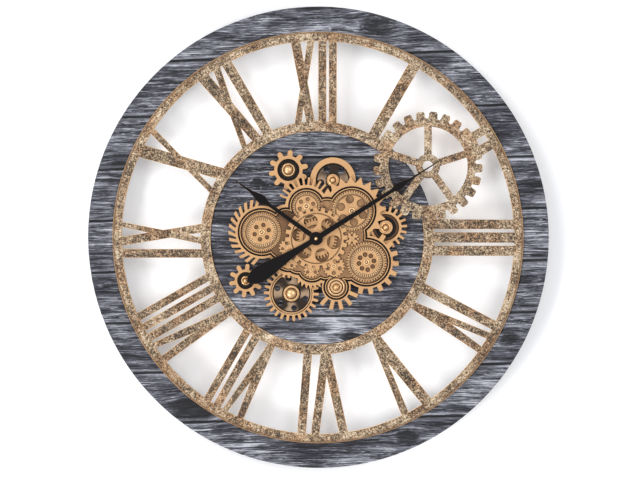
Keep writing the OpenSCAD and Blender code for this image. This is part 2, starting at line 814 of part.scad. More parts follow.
module notch(n) {
    high = 1 + stroke_run_share;
    widen = (high - n[3]) / (1 - n[3]);
    polygon([
        [n[2] * numeral_h, up(n[3])],
        [(n[2] + (n[1] - n[2]) * widen) * numeral_h, up(high)],
        [(n[2] + (n[0] - n[2]) * widen) * numeral_h, up(high)]
    ]);
}

module numeral(hour) {
    color("peru") stand() layer(disc_face_z, sheet_t) difference() {
        intersection() {
            ring(field_r, inner_band_r);
            rotate(-30 * hour) difference() {
                union() for (s = stroke_shares[hour - 1]) stroke(s);
                if (len(notch_shares[hour - 1]) > 0) notch(notch_shares[hour - 1]);
            }
        }
        open_gear_outline();
    }
}

module wall_spacers() {
    color("dimgray") stand() around(spacers, spacer_turn)
        rod([hanger_y, 0], spacer_d / 2, 0, board_z);
}

module hanger() {
    color("silver") stand() difference() {
        layer(board_z - hanger_t, hanger_t)
            translate([-hanger_w / 2, hanger_y - hanger_h / 2]) square([hanger_w, hanger_h]);
        rod([0, hanger_y], hanger_hole_r, board_z - hanger_t - cut, hanger_t + 2 * cut);
        for (side = [-1, 1])
            rod([side * hanger_screw_x, hanger_y], screw_r + running_gap,
                board_z - hanger_t - cut, hanger_t + 2 * cut);
    }
}

// A screw with its head at height z and its thread going up from there
module screw(z, grip) {
    rod([0, 0], screw_head_r, z - screw_head_h, screw_head_h);
    rod([0, 0], screw_r, z - pivot_gap, grip + screw_depth + pivot_gap);
}

module hanger_screws() {
    color("gray") stand() for (side = [-1, 1])
        translate([side * hanger_screw_x, hanger_y]) screw(board_z - hanger_t, hanger_t);
}

module gearbox_screw_places() {
    around(gearbox_screws, gearbox_screw_turn) translate([gearbox_r + flange_w / 2, 0]) children();
}

module gearbox_back() {
    color("dimgray") stand() difference() {
        union() {
            layer(plate_z, plate_t) circle(gearbox_r);
            layer(train_space_z, front_plate_z - train_space_z)
                ring(gearbox_r, gearbox_r - box_wall_t);
            layer(front_plate_z - flange_t, flange_t) ring(flange_r, gearbox_r - box_wall_t);
        }
        rod([0, 0], neck_r + shaft_gap, plate_z - cut, plate_t + 2 * cut);
        rod(motor_at, motor_shaft_r + shaft_gap, plate_z - cut, plate_t + 2 * cut);
        for (at = concat(arbor_places, [idler_at]))
            rod(at, arbor_r + running_gap, plate_z - cut, plate_t + 2 * cut);
        gearbox_screw_places()
            rod([0, 0], screw_r + running_gap, front_plate_z - flange_t - cut, flange_t + 2 * cut);
    }
}

module gearbox_front() {
    color("dimgray") stand() difference() {
        layer(front_plate_z, plate_t) circle(flange_r);
        rod([0, 0], sleeve_r + shaft_gap, front_plate_z - cut, plate_t + 2 * cut);
        rod(motor_at, motor_shaft_r + running_gap, front_plate_z - cut, plate_t + 2 * cut);
        for (at = concat(arbor_places, [idler_at]))
            rod(at, arbor_r + running_gap, front_plate_z - cut, plate_t + 2 * cut);
        gearbox_screw_places()
            rod([0, 0], screw_r + running_gap, front_plate_z - cut, plate_t + 2 * cut);
    }
}

module gearbox_screws() {
    color("gray") stand() gearbox_screw_places()
        screw(front_plate_z - flange_t, flange_t + plate_t);
}

module train_gear(teeth, turn) {
    layer(train_z, train_t) polygon(mesh_points(teeth, train_m, train_play, turn));
}

module motor() {
    color("silver") stand() difference() {
        rod(motor_at, motor_d / 2, plate_z - motor_len, motor_len);
        rod(motor_at, motor_shaft_r + running_gap, plate_z - motor_shaft_len - pivot_gap,
            motor_shaft_len + pivot_gap + cut);
    }
}

module motor_pinion() {
    color("white") stand() {
        translate(motor_at)
            train_gear(motor_teeth, mesh_turn(motor_angle, drive_teeth, drive_turn, motor_teeth));
        rod(motor_at, motor_shaft_r, plate_z - motor_shaft_len,
            motor_shaft_len + board_z - plate_z - shaft_end);
    }
}

module drive_wheel() {
    color("white") stand() difference() {
        union() {
            train_gear(drive_teeth, drive_turn);
            rod([0, 0], sleeve_r, train_z, show_face_z - train_z);
        }
        rod([0, 0], neck_r + running_gap, train_z - cut, show_face_z - train_z + 2 * cut);
    }
}

module idler() {
    color("white") stand() translate(idler_at) {
        train_gear(idler_teeth, idler_turn);
        rod([0, 0], arbor_r, plate_z + shaft_end, board_z - plate_z - 2 * shaft_end);
    }
}

// A pinion and the shaft that carries a show gear and its nut
module arbor(at, teeth, turn) {
    color("silver") stand() translate(at) {
        train_gear(teeth, turn);
        rod([0, 0], arbor_r, plate_z + shaft_end, nut_z + thread_h - plate_z - shaft_end);
    }
}

module arbor_top_left() {
    arbor(top_left_at, top_left_teeth,
        mesh_turn(top_left_angle, drive_teeth, drive_turn, top_left_teeth));
}

module arbor_top() {
    arbor(top_at, top_teeth, mesh_turn(top_angle, drive_teeth, drive_turn, top_teeth));
}

module arbor_right() {
    arbor(right_at, right_teeth, mesh_turn(right_angle, drive_teeth, drive_turn, right_teeth));
}

module arbor_bottom() {
    arbor(bottom_at, bottom_teeth, mesh_turn(bottom_angle, drive_teeth, drive_turn, bottom_teeth));
}

module arbor_bottom_left() {
    arbor(bottom_left_at, bottom_left_teeth,
        mesh_turn(bottom_left_angle, idler_teeth, idler_turn, bottom_left_teeth));
}

// Body of a show gear: the flat outline is child 0 and what is cut through its web is child 1
module show_gear(at, hub_r, web_r) {
    color("goldenrod") stand() translate(at) difference() {
        union() {
            layer(show_z, show_t) children(0);
            rod([0, 0], arbor_r + boss_wall, disc_face_z + boss_gap, show_z - disc_face_z - boss_gap);
            rod([0, 0], hub_r, show_face_z, show_hub_h);
        }
        layer(show_face_z - show_sink, show_sink + cut) ring(web_r, hub_r);
        layer(show_z - cut, show_t + 2 * cut) children(1);
        rod([0, 0], arbor_r + running_gap, disc_face_z, nut_z - disc_face_z + cut);
    }
}

module gear_top_left() {
    root_r = top_left_tip_d / 2 - top_left_tooth_h;
    show_gear(top_left_at, top_left_hub_d / 2, root_r * top_left_web_share) {
        polygon(finger_points(top_left_fingers, root_r, top_left_tip_d / 2,
            top_left_tooth_w, true, top_left_turn));
        union() {}
    }
}

module wheel_top() {
    web_r = top_rim_d / 2 - top_rim_w;
    show_gear(top_at, top_hub_d / 2, web_r) {
        circle(top_rim_d / 2);
        around(top_holes, top_hole_turn)
            translate([web_r * top_hole_at_share, 0]) circle(top_hole_d / 2);
    }
}

module gear_right() {
    root_r = right_tip_d / 2 - right_tooth_h;
    show_gear(right_at, right_hub_d / 2, root_r * right_web_share) {
        polygon(finger_points(right_fingers, root_r, right_tip_d / 2, right_tooth_w, false, right_turn));
        union() {}
    }
    color("goldenrod") stand() translate(right_at)
        layer(show_face_z - show_sink, show_sink * right_ring_h_share)
            ring(root_r * right_ring_shares[0], root_r * right_ring_shares[1]);
}

module gear_bottom() {
    root_r = bottom_tip_d / 2 - bottom_tooth_h;
    show_gear(bottom_at, bottom_hub_d / 2, root_r * bottom_web_share) {
        polygon(finger_points(bottom_fingers, root_r, bottom_tip_d / 2, bottom_tooth_w, true, bottom_turn));
        around(bottom_holes, bottom_hole_turn)
            translate([root_r * bottom_hole_at_share, 0]) circle(bottom_hole_d / 2);
    }
    color("goldenrod") stand() translate(bottom_at)
        layer(show_face_z - show_sink, show_sink)
            ring(root_r * bottom_ring_shares[0], root_r * bottom_ring_shares[1]);
}

module gear_bottom_left() {
    root_r = bottom_left_tip_d / 2 - bottom_left_tooth_h;
    show_gear(bottom_left_at, bottom_left_hub_d / 2, root_r * bottom_left_web_share) {
        polygon(finger_points(bottom_left_fingers, root_r, bottom_left_tip_d / 2,
            bottom_left_tooth_w, true, bottom_left_turn));
        union() {}
    }
}

module window_gear() {
    tip_r = window_tip_d / 2;
    root_r = tip_r - window_tooth_h;
    color("goldenrod") stand() difference() {
        layer(show_z, show_t) polygon(gear_points(window_teeth, root_r, tip_r,
            window_tooth_root_share, window_tooth_tip_share));
        layer(show_face_z - show_sink, show_sink + cut)
            ring(root_r * window_sink_share, root_r * window_hub_share);
        rod([0, 0], sleeve_r + running_gap, show_z - cut, show_t + 2 * cut);
    }
}

// A nut with a domed end over a blind threaded hole
module domed_nut(at, r) {
    dome_r = (r * r + dome_h * dome_h) / (2 * dome_h);
    color("gold") stand() translate(at) difference() {
        union() {
            rod([0, 0], r, nut_z, nut_base_h);
            intersection() {
                rod([0, 0], r, nut_z + nut_base_h, dome_h);
                translate([0, 0, nut_z + nut_base_h + dome_h - dome_r]) sphere(dome_r);
            }
        }
        rod([0, 0], arbor_r + running_gap, nut_z - cut, thread_h + thread_gap + cut);
    }
}

// One round shape for each field of the cover, drawn in or out by a share of its width
module fields(out_share = 0, edge = 0) {
    for (f = field_shares)
        translate([f[0], f[1]] * cover_w) circle((f[2] + out_share + f[3] * edge) * cover_w);
}

module tooth_row(t) {
    f = field_shares[t[0]];
    polygon(edge_points([f[0], f[1]] * cover_w, (f[2] + f[3]) * cover_w - cut / 2,
        t[4] * cover_w, t[1], t[2], t[3], t[5], t[6], t[7]));
}

module relief(g) {
    tip_r = g[2] * cover_w;
    translate([g[0], g[1]] * cover_w) difference() {
        layer(cover_face_z, cover_relief_h)
            polygon(gear_points(g[4], tip_r - g[3] * cover_w, tip_r,
                relief_tooth_root_share, relief_tooth_tip_share));
        layer(cover_face_z, cover_relief_h + cut)
            around(g[8], g[9]) translate([tip_r * g[5], 0]) circle(tip_r * g[6]);
    }
    translate([g[0], g[1]] * cover_w)
        rod([0, 0], tip_r * g[7], cover_face_z + cover_relief_h, cover_relief_h / 2);
}

module relief_rings() {
    for (i = [0:large_reliefs - 1]) {
        g = relief_shares[i];
        tip_r = g[2] * cover_w;
        translate([g[0], g[1]] * cover_w)
            layer(cover_face_z + cover_relief_h / 2, cover_relief_h + cut)
                ring(tip_r * relief_ring_shares[0], tip_r * relief_ring_shares[1]);
    }
}

// The small diamond cast between the two top fields
module diamond() {
    translate([diamond_shares.x, diamond_shares.y] * cover_w)
        layer(cover_face_z, cover_relief_h * diamond_h_share)
            rotate(45) square(diamond_shares.z * cover_w, true);
}

// A groove along the cover's edge, at a share of its width in from the fields' edge
module groove(depth, in_share, w_share) {
    layer(cover_face_z - depth, depth + cover_relief_h + cut) difference() {
        fields(-in_share);
        fields(-in_share - w_share);
    }
}

module crown() {
    layer(cover_face_z, cover_crown_h)
        polygon(gear_points(crown_teeth, crown_root_share * cover_w, crown_tip_share * cover_w,
            crown_tooth_root_share, crown_tooth_tip_share, crown_turn));
}

module gear_cover() {
    color("burlywood") stand() difference() {
        union() {
            difference() {
                union() {
                    layer(cover_z, cover_t) {
                        fields(0, 1);
                        for (t = tooth_rows_shares) tooth_row(t);
                    }
                    layer(cover_face_z, cover_lip_h) difference() {
                        fields(-groove_w_share);
                        fields(-groove_w_share - lip_w_share);
                    }
                    for (g = relief_shares) relief(g);
                    diamond();
                }
                groove(cover_groove, 0, groove_w_share);
                groove(cover_groove * second_depth_share, groove_w_share + lip_w_share, second_w_share);
                relief_rings();
            }
            crown();
        }
        layer(crown_z - cover_relief_h, cover_relief_h + cut)
            ring(crown_ring_shares[0] * cover_w, crown_ring_shares[1] * cover_w);
        around(windows, window_turn)
            rod([window_at_share * cover_w, 0], window_r_share * cover_w, cover_z - cut,
                crown_z - cover_z + 2 * cut);
        rod([0, 0], neck_r + running_gap, cover_z - cut, crown_z - cover_z + 2 * cut);
        rod(cover_nut_at, stud_r + running_gap, cover_z - cut, cover_t + 2 * cut);
        for (i = [0:len(arbor_places) - 1])
            rod(arbor_places[i], nut_widths[i] / 2 + nut_room, cover_z - cut, crown_z - cover_z + 2 * cut);
    }
}

module cover_pillars() {
    color("dimgray") stand() for (p = pillar_shares)
        rod(p * cover_w, pillar_r, disc_face_z, cover_z - disc_face_z);
}

// Domed nut and washer on a stud that draws the cover to the disc
module cover_nut() {
    base_z = cover_face_z + cover_washer_t;
    color("gold") stand() translate(cover_nut_at) {
        rod([0, 0], cover_washer_r, cover_face_z, cover_washer_t);
        rod([0, 0], cover_nut_r, base_z, nut_base_h / 2);
        translate([0, 0, base_z + nut_base_h / 2]) intersection() {
            sphere(cover_nut_r);
            cylinder(r = cover_nut_r, h = cover_nut_r);
        }
        rod([0, 0], stud_r, disc_face_z - stud_depth, cover_face_z - disc_face_z + stud_depth);
    }
}

// A rectangular block at a place on the dial, from height z up
module block(at, w, h, z, t) {
    translate([at.x - w / 2, at.y - h / 2, z]) cube([w, h, t]);
}

module movement_case() {
    cavity_w = case_w / 2 - case_wall + cavity_right;
    cavity_at = [cavity_right - cavity_w / 2, 0];
    pocket_depth = knob_z + knob_h + pocket_gap;
    color("black") stand() difference() {
        block([0, 0], case_w, case_w, 0, lid_z);
        block(cavity_at, cavity_w, bay_len, cavity_floor_z, lid_z - cavity_floor_z + cut);
        block([bay_x, 0], bay_w, bay_len, -cut, bay_top_z + cut);
        rod(motion_at, knob_r + pocket_gap, -cut, pocket_depth + cut);
        rod(motion_at, motion_arbor_r + running_gap, 0, lid_z);
        rod([0, 0], minute_shaft_r + running_gap, cavity_floor_z - pivot_h, pivot_h + cut);
    }
}

module movement_lid() {
    color("black") stand() difference() {
        union() {
            block([0, 0], case_w, case_w, lid_z, lid_t);
            rod([0, 0], neck_r, case_t, neck_top_z - case_t);
        }
        rod([0, 0], hour_tube_r + running_gap, lid_z - cut, neck_top_z - lid_z + 2 * cut);
        rod(motion_at, motion_arbor_r + running_gap, lid_z - cut, pivot_h + cut);
    }
}

module motion_gear(teeth, turn, z) {
    layer(z, wheel_t) polygon(mesh_points(teeth, motion_m, motion_play, turn));
}

module minute_shaft() {
    foot_z = cavity_floor_z - pivot_h + pivot_gap;
    color("silver") stand() {
        motion_gear(minute_pinion_teeth, 0, motion_z);
        rod([0, 0], minute_shaft_r, foot_z, minute_z + hand_t + cap_thread_h - foot_z);
    }
}

module motion_wheel() {
    color("white") stand() translate(motion_at) {
        motion_gear(motion_wheel_teeth, motion_wheel_turn, motion_z);
        motion_gear(motion_pinion_teeth, 0, hour_wheel_z);
        rod([0, 0], motion_arbor_r, knob_z, lid_z + pivot_h - pivot_gap - knob_z);
        layer(knob_z, knob_h) polygon(gear_points(knob_grips, knob_r * knob_grip_share, knob_r,
            knob_tooth_root_share, knob_tooth_tip_share));
    }
}

module hour_wheel() {
    color("white") stand() difference() {
        union() {
            motion_gear(hour_wheel_teeth, hour_wheel_turn, hour_wheel_z);
            rod([0, 0], hour_tube_r, hour_wheel_z, hour_z + hand_t - hour_wheel_z);
        }
        rod([0, 0], minute_shaft_r + running_gap, hour_wheel_z - cut,
            hour_z + hand_t - hour_wheel_z + 2 * cut);
    }
}

module clamp_nut() {
    color("gold") stand() difference() {
        translate([0, 0, crown_z]) cylinder(d = clamp_flats / cos(30), h = clamp_t, $fn = 6);
        rod([0, 0], neck_r + running_gap, crown_z - cut, clamp_t + 2 * cut);
    }
}

// Points down one side of a hand and back up the other
function blade_points(shares, len, w) = concat(
    [for (s = shares) [s[0] * len, -s[1] * w]],
    [for (i = [len(shares) - 1:-1:0]) [shares[i][0] * len, shares[i][1] * w]]
);

module hour_hand() {
    color("black") stand() difference() {
        layer(hour_z, hand_t) rotate(hour_angle) {
            circle(hand_hub_d / 2);
            polygon(blade_points(hour_arm_shares, hour_len, arm_w));
            polygon(blade_points(hour_blade_shares, hour_len, hour_blade_w));
        }
        rod([0, 0], hour_tube_r + running_gap, hour_z - cut, hand_t + 2 * cut);
    }
}

module minute_hand() {
    color("black") stand() difference() {
        layer(minute_z, hand_t) rotate(minute_angle) {
            circle(hand_hub_d / 2);
            polygon(blade_points(minute_arm_shares, minute_len, arm_w));
            polygon(blade_points(minute_blade_shares, minute_len, minute_blade_w));
            rotate(180) polygon(blade_points(leaf_shares, minute_tail, minute_leaf_w));
        }
        rod([0, 0], minute_shaft_r + running_gap, minute_z - cut, hand_t + 2 * cut);
    }
}

module hand_cap() {
    color("gold") stand() difference() {
        union() {
            rod([0, 0], cap_r, minute_z + hand_t, cap_h);
            translate([0, 0, minute_z + hand_t + cap_h]) intersection() {
                sphere(cap_r);
                cylinder(r = cap_r, h = cap_r);
            }
        }
        rod([0, 0], minute_shaft_r + running_gap, minute_z + hand_t - cut, cap_thread_h + pivot_gap + cut);
    }
}

module battery_box() {
    slot_len = door_len + cut;
    slot_x = box_inner_len / 2 - slot_len;
    color("black") stand() difference() {
        union() {
            block(box_at, box_len, box_h, 0, plate_z);
            block(switch_at, switch_w, switch_h, plate_z - switch_t, switch_t);
        }
        block(box_at, box_inner_len, box_inner_h, -cut, plate_z + 2 * cut);
        translate([slot_x, box_at.y - door_w / 2 - door_gap, door_z - door_gap])
            cube([slot_len + door_gap, door_w + 2 * door_gap, door_t + 2 * door_gap]);
        block(switch_at, slider_w + 2 * slider_gap, slider_h + 2 * (switch_travel + slider_gap),
            plate_z - switch_t - cut, slider_depth + slider_gap + cut);
    }
}

module battery_door() {
    color("dimgray") stand() difference() {
        translate([box_inner_len / 2 - door_len, box_at.y - door_w / 2, door_z])
            cube([door_len, door_w, door_t]);
        for (i = [0:door_grips - 1])
            block([door_grip_step * (i + 2) - box_len / 2, box_at.y], door_grip_w, box_inner_h / 2,
                door_z - cut, door_grip_depth + cut);
    }
}

module power_switch() {
    color("white") stand()
        block(switch_at, slider_w, slider_h, plate_z - switch_t - slider_out, slider_out + slider_depth);
}

module cell(at, z, turn) {
    translate([at.x, at.y, z]) rotate(turn) rotate([0, 90, 0]) {
        translate([0, 0, -cell_len / 2]) cylinder(r = cell_r, h = cell_len - nub_h);
        translate([0, 0, cell_len / 2 - nub_h]) cylinder(r = nub_r, h = nub_h);
    }
}

module cells() {
    color("orange") stand() {
        cell([bay_x, 0], bay_top_z - cell_gap - cell_r, 90);
        for (side = [-1, 1])
            cell(box_at + [0, side * (cell_r + cell_gap)], plate_z - cell_gap - cell_r, 90 - 90 * side);
    }
}

wood_ring();
centre_disc();
outer_band();
inner_band();
open_gear();
numeral(1);  // numeral_i
numeral(2);  // numeral_ii
numeral(3);  // numeral_iii
numeral(4);  // numeral_iv
numeral(5);  // numeral_v
numeral(6);  // numeral_vi
numeral(7);  // numeral_vii
numeral(8);  // numeral_viii
numeral(9);  // numeral_ix
numeral(10);  // numeral_x
numeral(11);  // numeral_xi
numeral(12);  // numeral_xii
wall_spacers();
hanger();
hanger_screws();
gearbox_back();
gearbox_front();
gearbox_screws();
motor();
motor_pinion();
drive_wheel();
window_gear();
idler();
arbor_top_left();
arbor_top();
arbor_right();
arbor_bottom();
arbor_bottom_left();
gear_top_left();
wheel_top();
gear_right();
gear_bottom();
gear_bottom_left();
domed_nut(top_left_at, top_left_nut_d / 2);  // nut_top_left
domed_nut(top_at, top_nut_d / 2);  // nut_top
domed_nut(right_at, right_nut_d / 2);  // nut_right
domed_nut(bottom_at, bottom_nut_d / 2);  // nut_bottom
domed_nut(bottom_left_at, bottom_left_nut_d / 2);  // nut_bottom_left
gear_cover();
cover_pillars();
cover_nut();
movement_case();
movement_lid();
minute_shaft();
motion_wheel();
hour_wheel();
clamp_nut();
hour_hand();
minute_hand();
hand_cap();
battery_box();
battery_door();
power_switch();
cells();
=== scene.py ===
"""Looks of the round gear wall clock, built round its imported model.

Every length is in metres. The dial faces -Y, the wall is the plane y = 0, and a height is a distance
out from the wall.
"""

import logging
import math
import random
from dataclasses import dataclass
from enum import Enum
from functools import reduce
from typing import Callable, Sequence

import bmesh
import bpy
from mathutils import Matrix, Vector


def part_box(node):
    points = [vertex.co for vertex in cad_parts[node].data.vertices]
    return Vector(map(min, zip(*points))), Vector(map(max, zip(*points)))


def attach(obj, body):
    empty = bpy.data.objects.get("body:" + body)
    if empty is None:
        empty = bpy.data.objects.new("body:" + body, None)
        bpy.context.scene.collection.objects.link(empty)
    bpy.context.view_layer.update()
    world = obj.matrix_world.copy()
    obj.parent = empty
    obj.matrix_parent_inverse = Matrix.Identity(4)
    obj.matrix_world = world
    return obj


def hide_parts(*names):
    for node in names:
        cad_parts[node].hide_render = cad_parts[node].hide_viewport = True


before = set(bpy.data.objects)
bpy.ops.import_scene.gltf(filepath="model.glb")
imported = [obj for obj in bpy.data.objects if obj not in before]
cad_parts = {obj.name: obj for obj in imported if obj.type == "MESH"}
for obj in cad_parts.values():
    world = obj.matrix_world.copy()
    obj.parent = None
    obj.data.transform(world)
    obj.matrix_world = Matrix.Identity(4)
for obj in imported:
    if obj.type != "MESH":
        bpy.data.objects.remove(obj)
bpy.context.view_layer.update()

MM = 0.001
SAME_POINT = 0.004 * MM
FLAT_ANGLE = math.radians(0.4)
SHARP_ANGLE = math.radians(32.0)
CREASE_ANGLE = math.radians(34.0)
ROUNDING_STEPS = 2
DOME_STEPS = 12
SMALL_STEPS = 24
BOSS_STEPS = 40
LARGE_STEPS = 96
FACING = 0.9
LOG = logging.getLogger("clock")

Socket = bpy.types.NodeSocket
Value = Socket | float
Colour = tuple[float, float, float, float]
Rule = Callable[[bmesh.types.BMFace], "Finish"]


class Slot(Enum):
    """The record's material slots."""

    WOOD = "wood"
    SHEET = "dial_sheet"
    RUBBER = "spacer_rubber"
    STEEL = "steel"
    BLACK_PLASTIC = "black_plastic"
    WHITE_PLASTIC = "white_plastic"
    GOLD = "gold_plastic"
    BRASS = "brass"
    HANDS = "hand_black"
    CELL = "cell"


class Body(Enum):
    """The bodies that pieces ride on."""

    CLOCK = "clock"
    MINUTE = "minute"
    HOUR = "hour"
    DRIVE = "drive"
    TOP_LEFT = "top_left"
    TOP = "top"
    RIGHT = "right"
    BOTTOM = "bottom"
    BOTTOM_LEFT = "bottom_left"


ARBORS = (Body.TOP_LEFT, Body.TOP, Body.RIGHT, Body.BOTTOM, Body.BOTTOM_LEFT)
NUT_RADII = (6.0 * MM, 4.1 * MM, 4.1 * MM, 6.9 * MM, 3.8 * MM)


def paint(red: int, green: int, blue: int) -> Colour:
    """A linear colour with full alpha, from painters' numbers of 0 to 255."""
    linear = [
        c / 12.92 if c <= 0.04045 else ((c + 0.055) / 1.055) ** 2.4
        for c in (red / 255, green / 255, blue / 255)
    ]
    return (linear[0], linear[1], linear[2], 1.0)


class Graph:
    """Builds the node tree of one finish."""

    def __init__(self, name: str) -> None:
        """Starts a tree that ends in one shader.

        Args:
            name: Name of the material.
        """
        self.material = bpy.data.materials.new(name)
        self.material.use_nodes = True
        self.tree = self.material.node_tree
        self.shader = self.tree.nodes["Principled BSDF"]
        self.place = self.node("ShaderNodeTexCoord").outputs["Object"]
        self.x, self.y, self.z = self.node("ShaderNodeSeparateXYZ", Vector=self.place).outputs

    def feed(self, socket: Socket, value: Value | Colour | Sequence[float]) -> None:
        """Links a socket to another, or sets its own value.

        Args:
            socket: The socket that is fed.
            value: Another socket, or a value.
        """
        if isinstance(value, bpy.types.NodeSocket):
            self.tree.links.new(value, socket)
        else:
            socket.default_value = value

    def node(self, kind: str, **inputs: object) -> bpy.types.Node:
        """Adds a node.

        Args:
            kind: The node's type.
            **inputs: Values or sockets by input name.

        Returns:
            The node.
        """
        made = self.tree.nodes.new(kind)
        for key, value in inputs.items():
            self.feed(made.inputs[key.replace("_", " ")], value)
        return made

    def calc(self, operation: str, *values: Value) -> Socket:
        """One step of arithmetic.

        Args:
            operation: The operation's name.
            *values: Numbers or sockets.

        Returns:
            The result.
        """
        made = self.tree.nodes.new("ShaderNodeMath")
        made.operation = operation
        for socket, value in zip(made.inputs, values):
            self.feed(socket, value)
        return made.outputs[0]

    def times(self, first: Value, second: Value) -> Socket:
        """The product of two values."""
        return self.calc("MULTIPLY", first, second)

    def length(self, across: Socket, up: Socket) -> Socket:
        """The length of a flat vector."""
        return self.calc("SQRT", self.calc("MULTIPLY_ADD", across, across, self.times(up, up)))

    def weigh(self, *terms: tuple[Value, float]) -> Socket:
        """The sum of values times their weights."""
        return reduce(lambda total, term: self.calc("MULTIPLY_ADD", *term, total), terms, 0.0)

    def point(self, x: Value, y: Value, z: Value) -> Socket:
        """A point from its three parts."""
        return self.node("ShaderNodeCombineXYZ", X=x, Y=y, Z=z).outputs[0]

    def noise(
        self, scale: tuple[float, float, float], detail: float = 2.0, roughness: float = 0.5,
        at: Socket | None = None, distortion: float = 0.0,
    ) -> Socket:
        """Noise with its own scale along each axis.

        Args:
            scale: Waves to the metre along X, Y and Z.
            detail: Number of finer layers.
            roughness: Weight of the finer layers.
            at: Where it is read, the piece's own place if left out.
            distortion: How far it is bent.

        Returns:
            A value from 0 to 1.
        """
        spread = self.node("ShaderNodeMapping", Vector=at or self.place, Scale=scale).outputs[0]
        made = self.node(
            "ShaderNodeTexNoise", Vector=spread, Scale=1.0, Detail=detail,
            Roughness=roughness, Distortion=distortion,
        )
        return made.outputs["Fac"]

    def level(
        self, value: Value, low: float, high: float, to_low: float = 0.0, to_high: float = 1.0
    ) -> Socket:
        """Maps a value from one range to another, smoothly and clamped.

        Args:
            value: The value.
            low: Start of its range.
            high: End of its range.
            to_low: What the start becomes.
            to_high: What the end becomes.

        Returns:
            The mapped value.
        """
        made = self.node(
            "ShaderNodeMapRange", Value=value, From_Min=low, From_Max=high, To_Min=to_low, To_Max=to_high
        )
        made.interpolation_type = "SMOOTHSTEP"
        return made.outputs[0]

    def ramp(self, value: Value, stops: Sequence[tuple[float, Colour]], stepped: bool = False) -> Socket:
        """Colours along a value.

        Args:
            value: From 0 to 1.
            stops: Places and their colours, in order.
            stepped: Whether each colour holds until the next.

        Returns:
            The colour.
        """
        made = self.node("ShaderNodeValToRGB", Fac=value)
        band = made.color_ramp
        band.interpolation = "CONSTANT" if stepped else "LINEAR"
        while len(band.elements) < len(stops):
            band.elements.new(1.0)
        for element, (place, colour) in zip(band.elements, stops):
            element.position = place
            element.color = colour
        return made.outputs["Color"]

    def mix(
        self, factor: Value, first: Socket | Colour, second: Socket | Colour, mode: str = "MIX"
    ) -> Socket:
        """Blends two colours.

        Args:
            factor: Share of the second.
            first: First colour.
            second: Second colour.
            mode: Blend mode.

        Returns:
            The blended colour.
        """
        made = self.tree.nodes.new("ShaderNodeMix")
        made.data_type = "RGBA"
        made.blend_type = mode
        for index, value in ((0, factor), (6, first), (7, second)):
            self.feed(made.inputs[index], value)
        return made.outputs[2]

    def bump(self, height: Socket, distance: float, strength: float) -> None:
        """Gives the shader relief from a height."""
        made = self.node("ShaderNodeBump", Height=height, Distance=distance, Strength=strength)
        self.feed(self.shader.inputs["Normal"], made.outputs[0])

    def dress(self, **inputs: object) -> None:
        """Sets the shader's own sockets by name."""
        for key, value in inputs.items():
            self.feed(self.shader.inputs[key.replace("_", " ")], value)


@dataclass(frozen=True)
class Finish:
    """What every finish has: a name and the record's slot that it belongs to."""

    name: str
    slot: Slot

    def fill(self, g: Graph) -> None:
        """Fills the material's tree."""
        raise NotImplementedError

    def material(self) -> bpy.types.Material:
        """Makes the material, once.

        Returns:
            The material.
        """
        if self.name not in bpy.data.materials:
            self.fill(Graph(self.name))
        return bpy.data.materials[self.name]


@dataclass(frozen=True)
class Knot:
    """A knot in the wood: its middle on the dial and its radius."""

    x: float
    z: float
    radius: float


